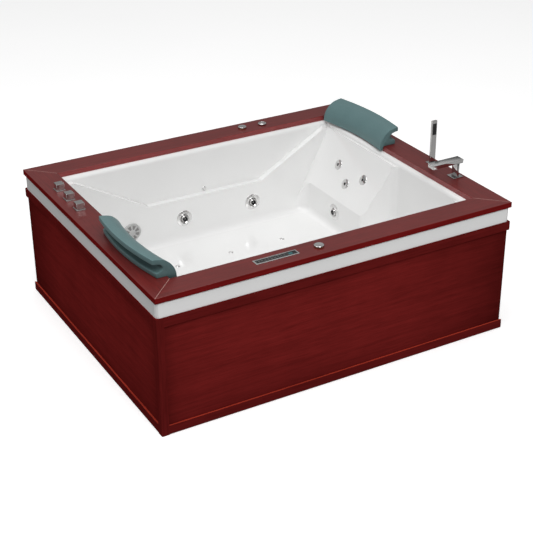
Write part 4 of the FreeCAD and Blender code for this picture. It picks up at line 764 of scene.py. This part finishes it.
def bath_spout():
    """A flat arm with drafted sides on a thin flat post."""
    low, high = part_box("bath_spout")
    arm_low, draft, post_half = high.z - 0.02, 0.0035, 0.0065
    post_x = middle_of("spout_base").x
    mesh = bmesh.new()

    def block(x0, x1, z0, z1, top_draw, low_draw):
        points = []
        for z, draw in ((z0, low_draw), (z1, top_draw)):
            points += [(x0, low.y + draw, z), (x1, low.y + draw, z), (x1, high.y - draw, z), (x0, high.y - draw, z)]
        verts = [mesh.verts.new(point) for point in points]
        for face in ((3, 2, 1, 0), (4, 5, 6, 7), (0, 1, 5, 4), (1, 2, 6, 5), (2, 3, 7, 6), (3, 0, 4, 7)):
            mesh.faces.new([verts[index] for index in face])

    block(low.x, high.x, arm_low, high.z, 0.0, draft)
    block(post_x - post_half, post_x + post_half, low.z, arm_low + 0.001, draft, draft)
    bmesh.ops.bevel(mesh, geom=mesh.edges[:], offset=0.0008, segments=2, profile=0.5, affect="EDGES")
    mesh.normal_update()
    for face in mesh.faces:
        face.material_index = int(face.normal.z > 0.9)
    lip = rounded(low.x + 0.006, low.y + 0.009, low.x + 0.014, high.y - 0.009, 0.003)
    plate(mesh, lip, arm_low - 0.0004, arm_low + 0.0006, 0.0002, 2)
    piece_of("spout_arm", mesh, [tap, satin, black], "tub", ["bath_spout"])


control_panel()
bath_spout()
air_knob("air_knob_back")
air_knob("air_knob_front")
push_button()
mitre_lines()
spray_nubs()


# Waste, overflow and level sensor

def level_sensor():
    """A dished sensor on the back wall, with its shank, nut and tail behind."""
    centre = middle_of("level_sensor")
    profile = [
        (0, 1.2), (5, 1.2), (6, 2.6), (9.4, 3), (12, 1.6), (12, 0.2), (6.9, 0.1), (6.9, -7.4), (11, -7.4), (11, -17.2),
        (4.2, -17.2), (4.2, -31), (0, -31)]
    mesh = bmesh.new()
    lathe(mesh, eased(profile, 0.5), at(centre.x, UPPER_WALL_Y, centre.z, TO_BACK_WALL), steps=32)
    piece_of("level_eye", mesh, [bright], "tub", ["level_sensor"])


def drain():
    """A domed plug on its stem."""
    plug = [(0, 5.6), (10, 5.4), (17, 4.6), (21.6, 2.6), (22.2, 0.6), (22.2, 0), (5, 0), (5, -111), (0, -111)]
    mesh = bmesh.new()
    lathe(mesh, eased(plug, 0.8), at(0, 0, FLOOR_Z), steps=64)
    piece_of("drain_cap", mesh, [bright], "drain_plug", ["drain_plug"])


def overflow_knob():
    """A thick disc on the front wall that works the drain plug."""
    place = HALF_TURN @ at(0, UPPER_WALL_Y, OVERFLOW_Z, TO_BACK_WALL)
    profile = [
        (0, 15), (12, 15), (26, 16), (30.5, 15.2), (33, 12.6), (32.6, 6), (31, 4.5), (5, 4.4), (5, -16.8), (0, -16.8)]
    mesh = bmesh.new()
    lathe(mesh, eased(profile, 1.0), place, steps=64)
    piece_of("overflow_disc", mesh, [bright], "overflow_knob", ["overflow_knob"])


level_sensor()
drain()
overflow_knob()


# Studio: the sky's light by the sine of its height, behind the tub and in front of it

BEHIND = ((-1.0, 0.06), (-0.02, 0.06), (0.2, 0.14), (0.5, 0.42), (1.0, 0.62))
BEFORE = ((-1.0, 0.3), (-0.45, 0.55), (-0.12, 0.12), (0.05, 0.05), (0.4, 0.08), (0.7, 0.3), (1.0, 0.62))
SIDE_BLEND = (-0.35, 0.25)
FLOOR_HALF = 30.0
EYE = (-2.6731, -4.7959, 3.1132)
EYE_AHEAD = (0.435, 0.7712, -0.4648)
EYE_RIGHT = (0.8691, -0.4946, -0.0072)
LENS, SENSOR = 85.95, 36


def floor():
    """A pale floor that neither lights the tub nor mirrors in it."""
    data = bpy.data.meshes.new("studio_floor")
    corners = [(x * FLOOR_HALF, y * FLOOR_HALF, 0) for x, y in ((-1, -1), (1, -1), (1, 1), (-1, 1))]
    data.from_pydata(corners, [], [(0, 1, 2, 3)])
    surface = Surface(
        "studio_floor", Roughness=0.9, Specular_IOR_Level=0.0, Emission_Color=(1, 1, 1, 1), Emission_Strength=0.45)
    cloud = surface.noise(surface.place(), 0.6, 2)
    surface.drive("Base Color", surface.ramp(cloud, (0.3, (0.86, 0.86, 0.86)), (0.7, (0.88, 0.88, 0.88))))
    data.materials.append(surface.material)
    plane = bpy.data.objects.new("studio_floor", data)
    plane.visible_diffuse = False
    plane.visible_glossy = False
    scene.collection.objects.link(plane)


def softbox(name, place, target, width, height, power):
    """A soft rectangular lamp that faces a target."""
    light = bpy.data.lights.new(name, "AREA")
    light.shape = "RECTANGLE"
    light.size = width
    light.size_y = height
    light.energy = power
    lamp = bpy.data.objects.new(name, light)
    lamp.location = place
    lamp.rotation_euler = (Vector(target) - Vector(place)).to_track_quat("-Z", "Y").to_euler()
    scene.collection.objects.link(lamp)


def surroundings():
    """A soft sky: bright overhead and behind, dim at the horizon, with pale ground in front."""
    world = bpy.data.worlds.new("studio")
    world.use_nodes = True
    sky = Nodes(world.node_tree)
    level = sky.spread(sky.across("Z"), 0.0, 1.0, -1.0, 1.0)
    behind, before = (
        sky.ramp(level, *[((height + 1) / 2, (light,) * 3) for height, light in stops]) for stops in (BEHIND, BEFORE))
    side = sky.spread(sky.across("Y"), 0.0, 1.0, *SIDE_BLEND, "SMOOTHSTEP")
    sky.link(sky.mix(side, before, behind, "MIX"), sky.tree.nodes["Background"].inputs["Color"])
    scene.world = world


def camera():
    """The photograph's view: a long lens from the front left, looking down into the basin."""
    lens = bpy.data.cameras.new("view")
    lens.sensor_fit = "HORIZONTAL"
    lens.sensor_width = SENSOR
    lens.lens = LENS
    eye = bpy.data.objects.new("view", lens)
    ahead, right = Vector(EYE_AHEAD).normalized(), Vector(EYE_RIGHT).normalized()
    up = right.cross(ahead).normalized()
    turn = Matrix((right, up, -ahead)).transposed().to_4x4()
    eye.matrix_world = Matrix.Translation(EYE) @ turn
    scene.collection.objects.link(eye)
    scene.camera = eye


floor()
surroundings()
softbox("key", (-0.3, -4.6, 4.6), (0, 0, 0.4), 3.0, 3.0, 165)
softbox("top", (-1.4, -0.2, 5.2), (0, 0, 0.3), 4.0, 4.0, 85)
softbox("fill", (-5.0, -0.5, 3.2), (0, 0, 0.4), 3.0, 2.0, 42)
camera()
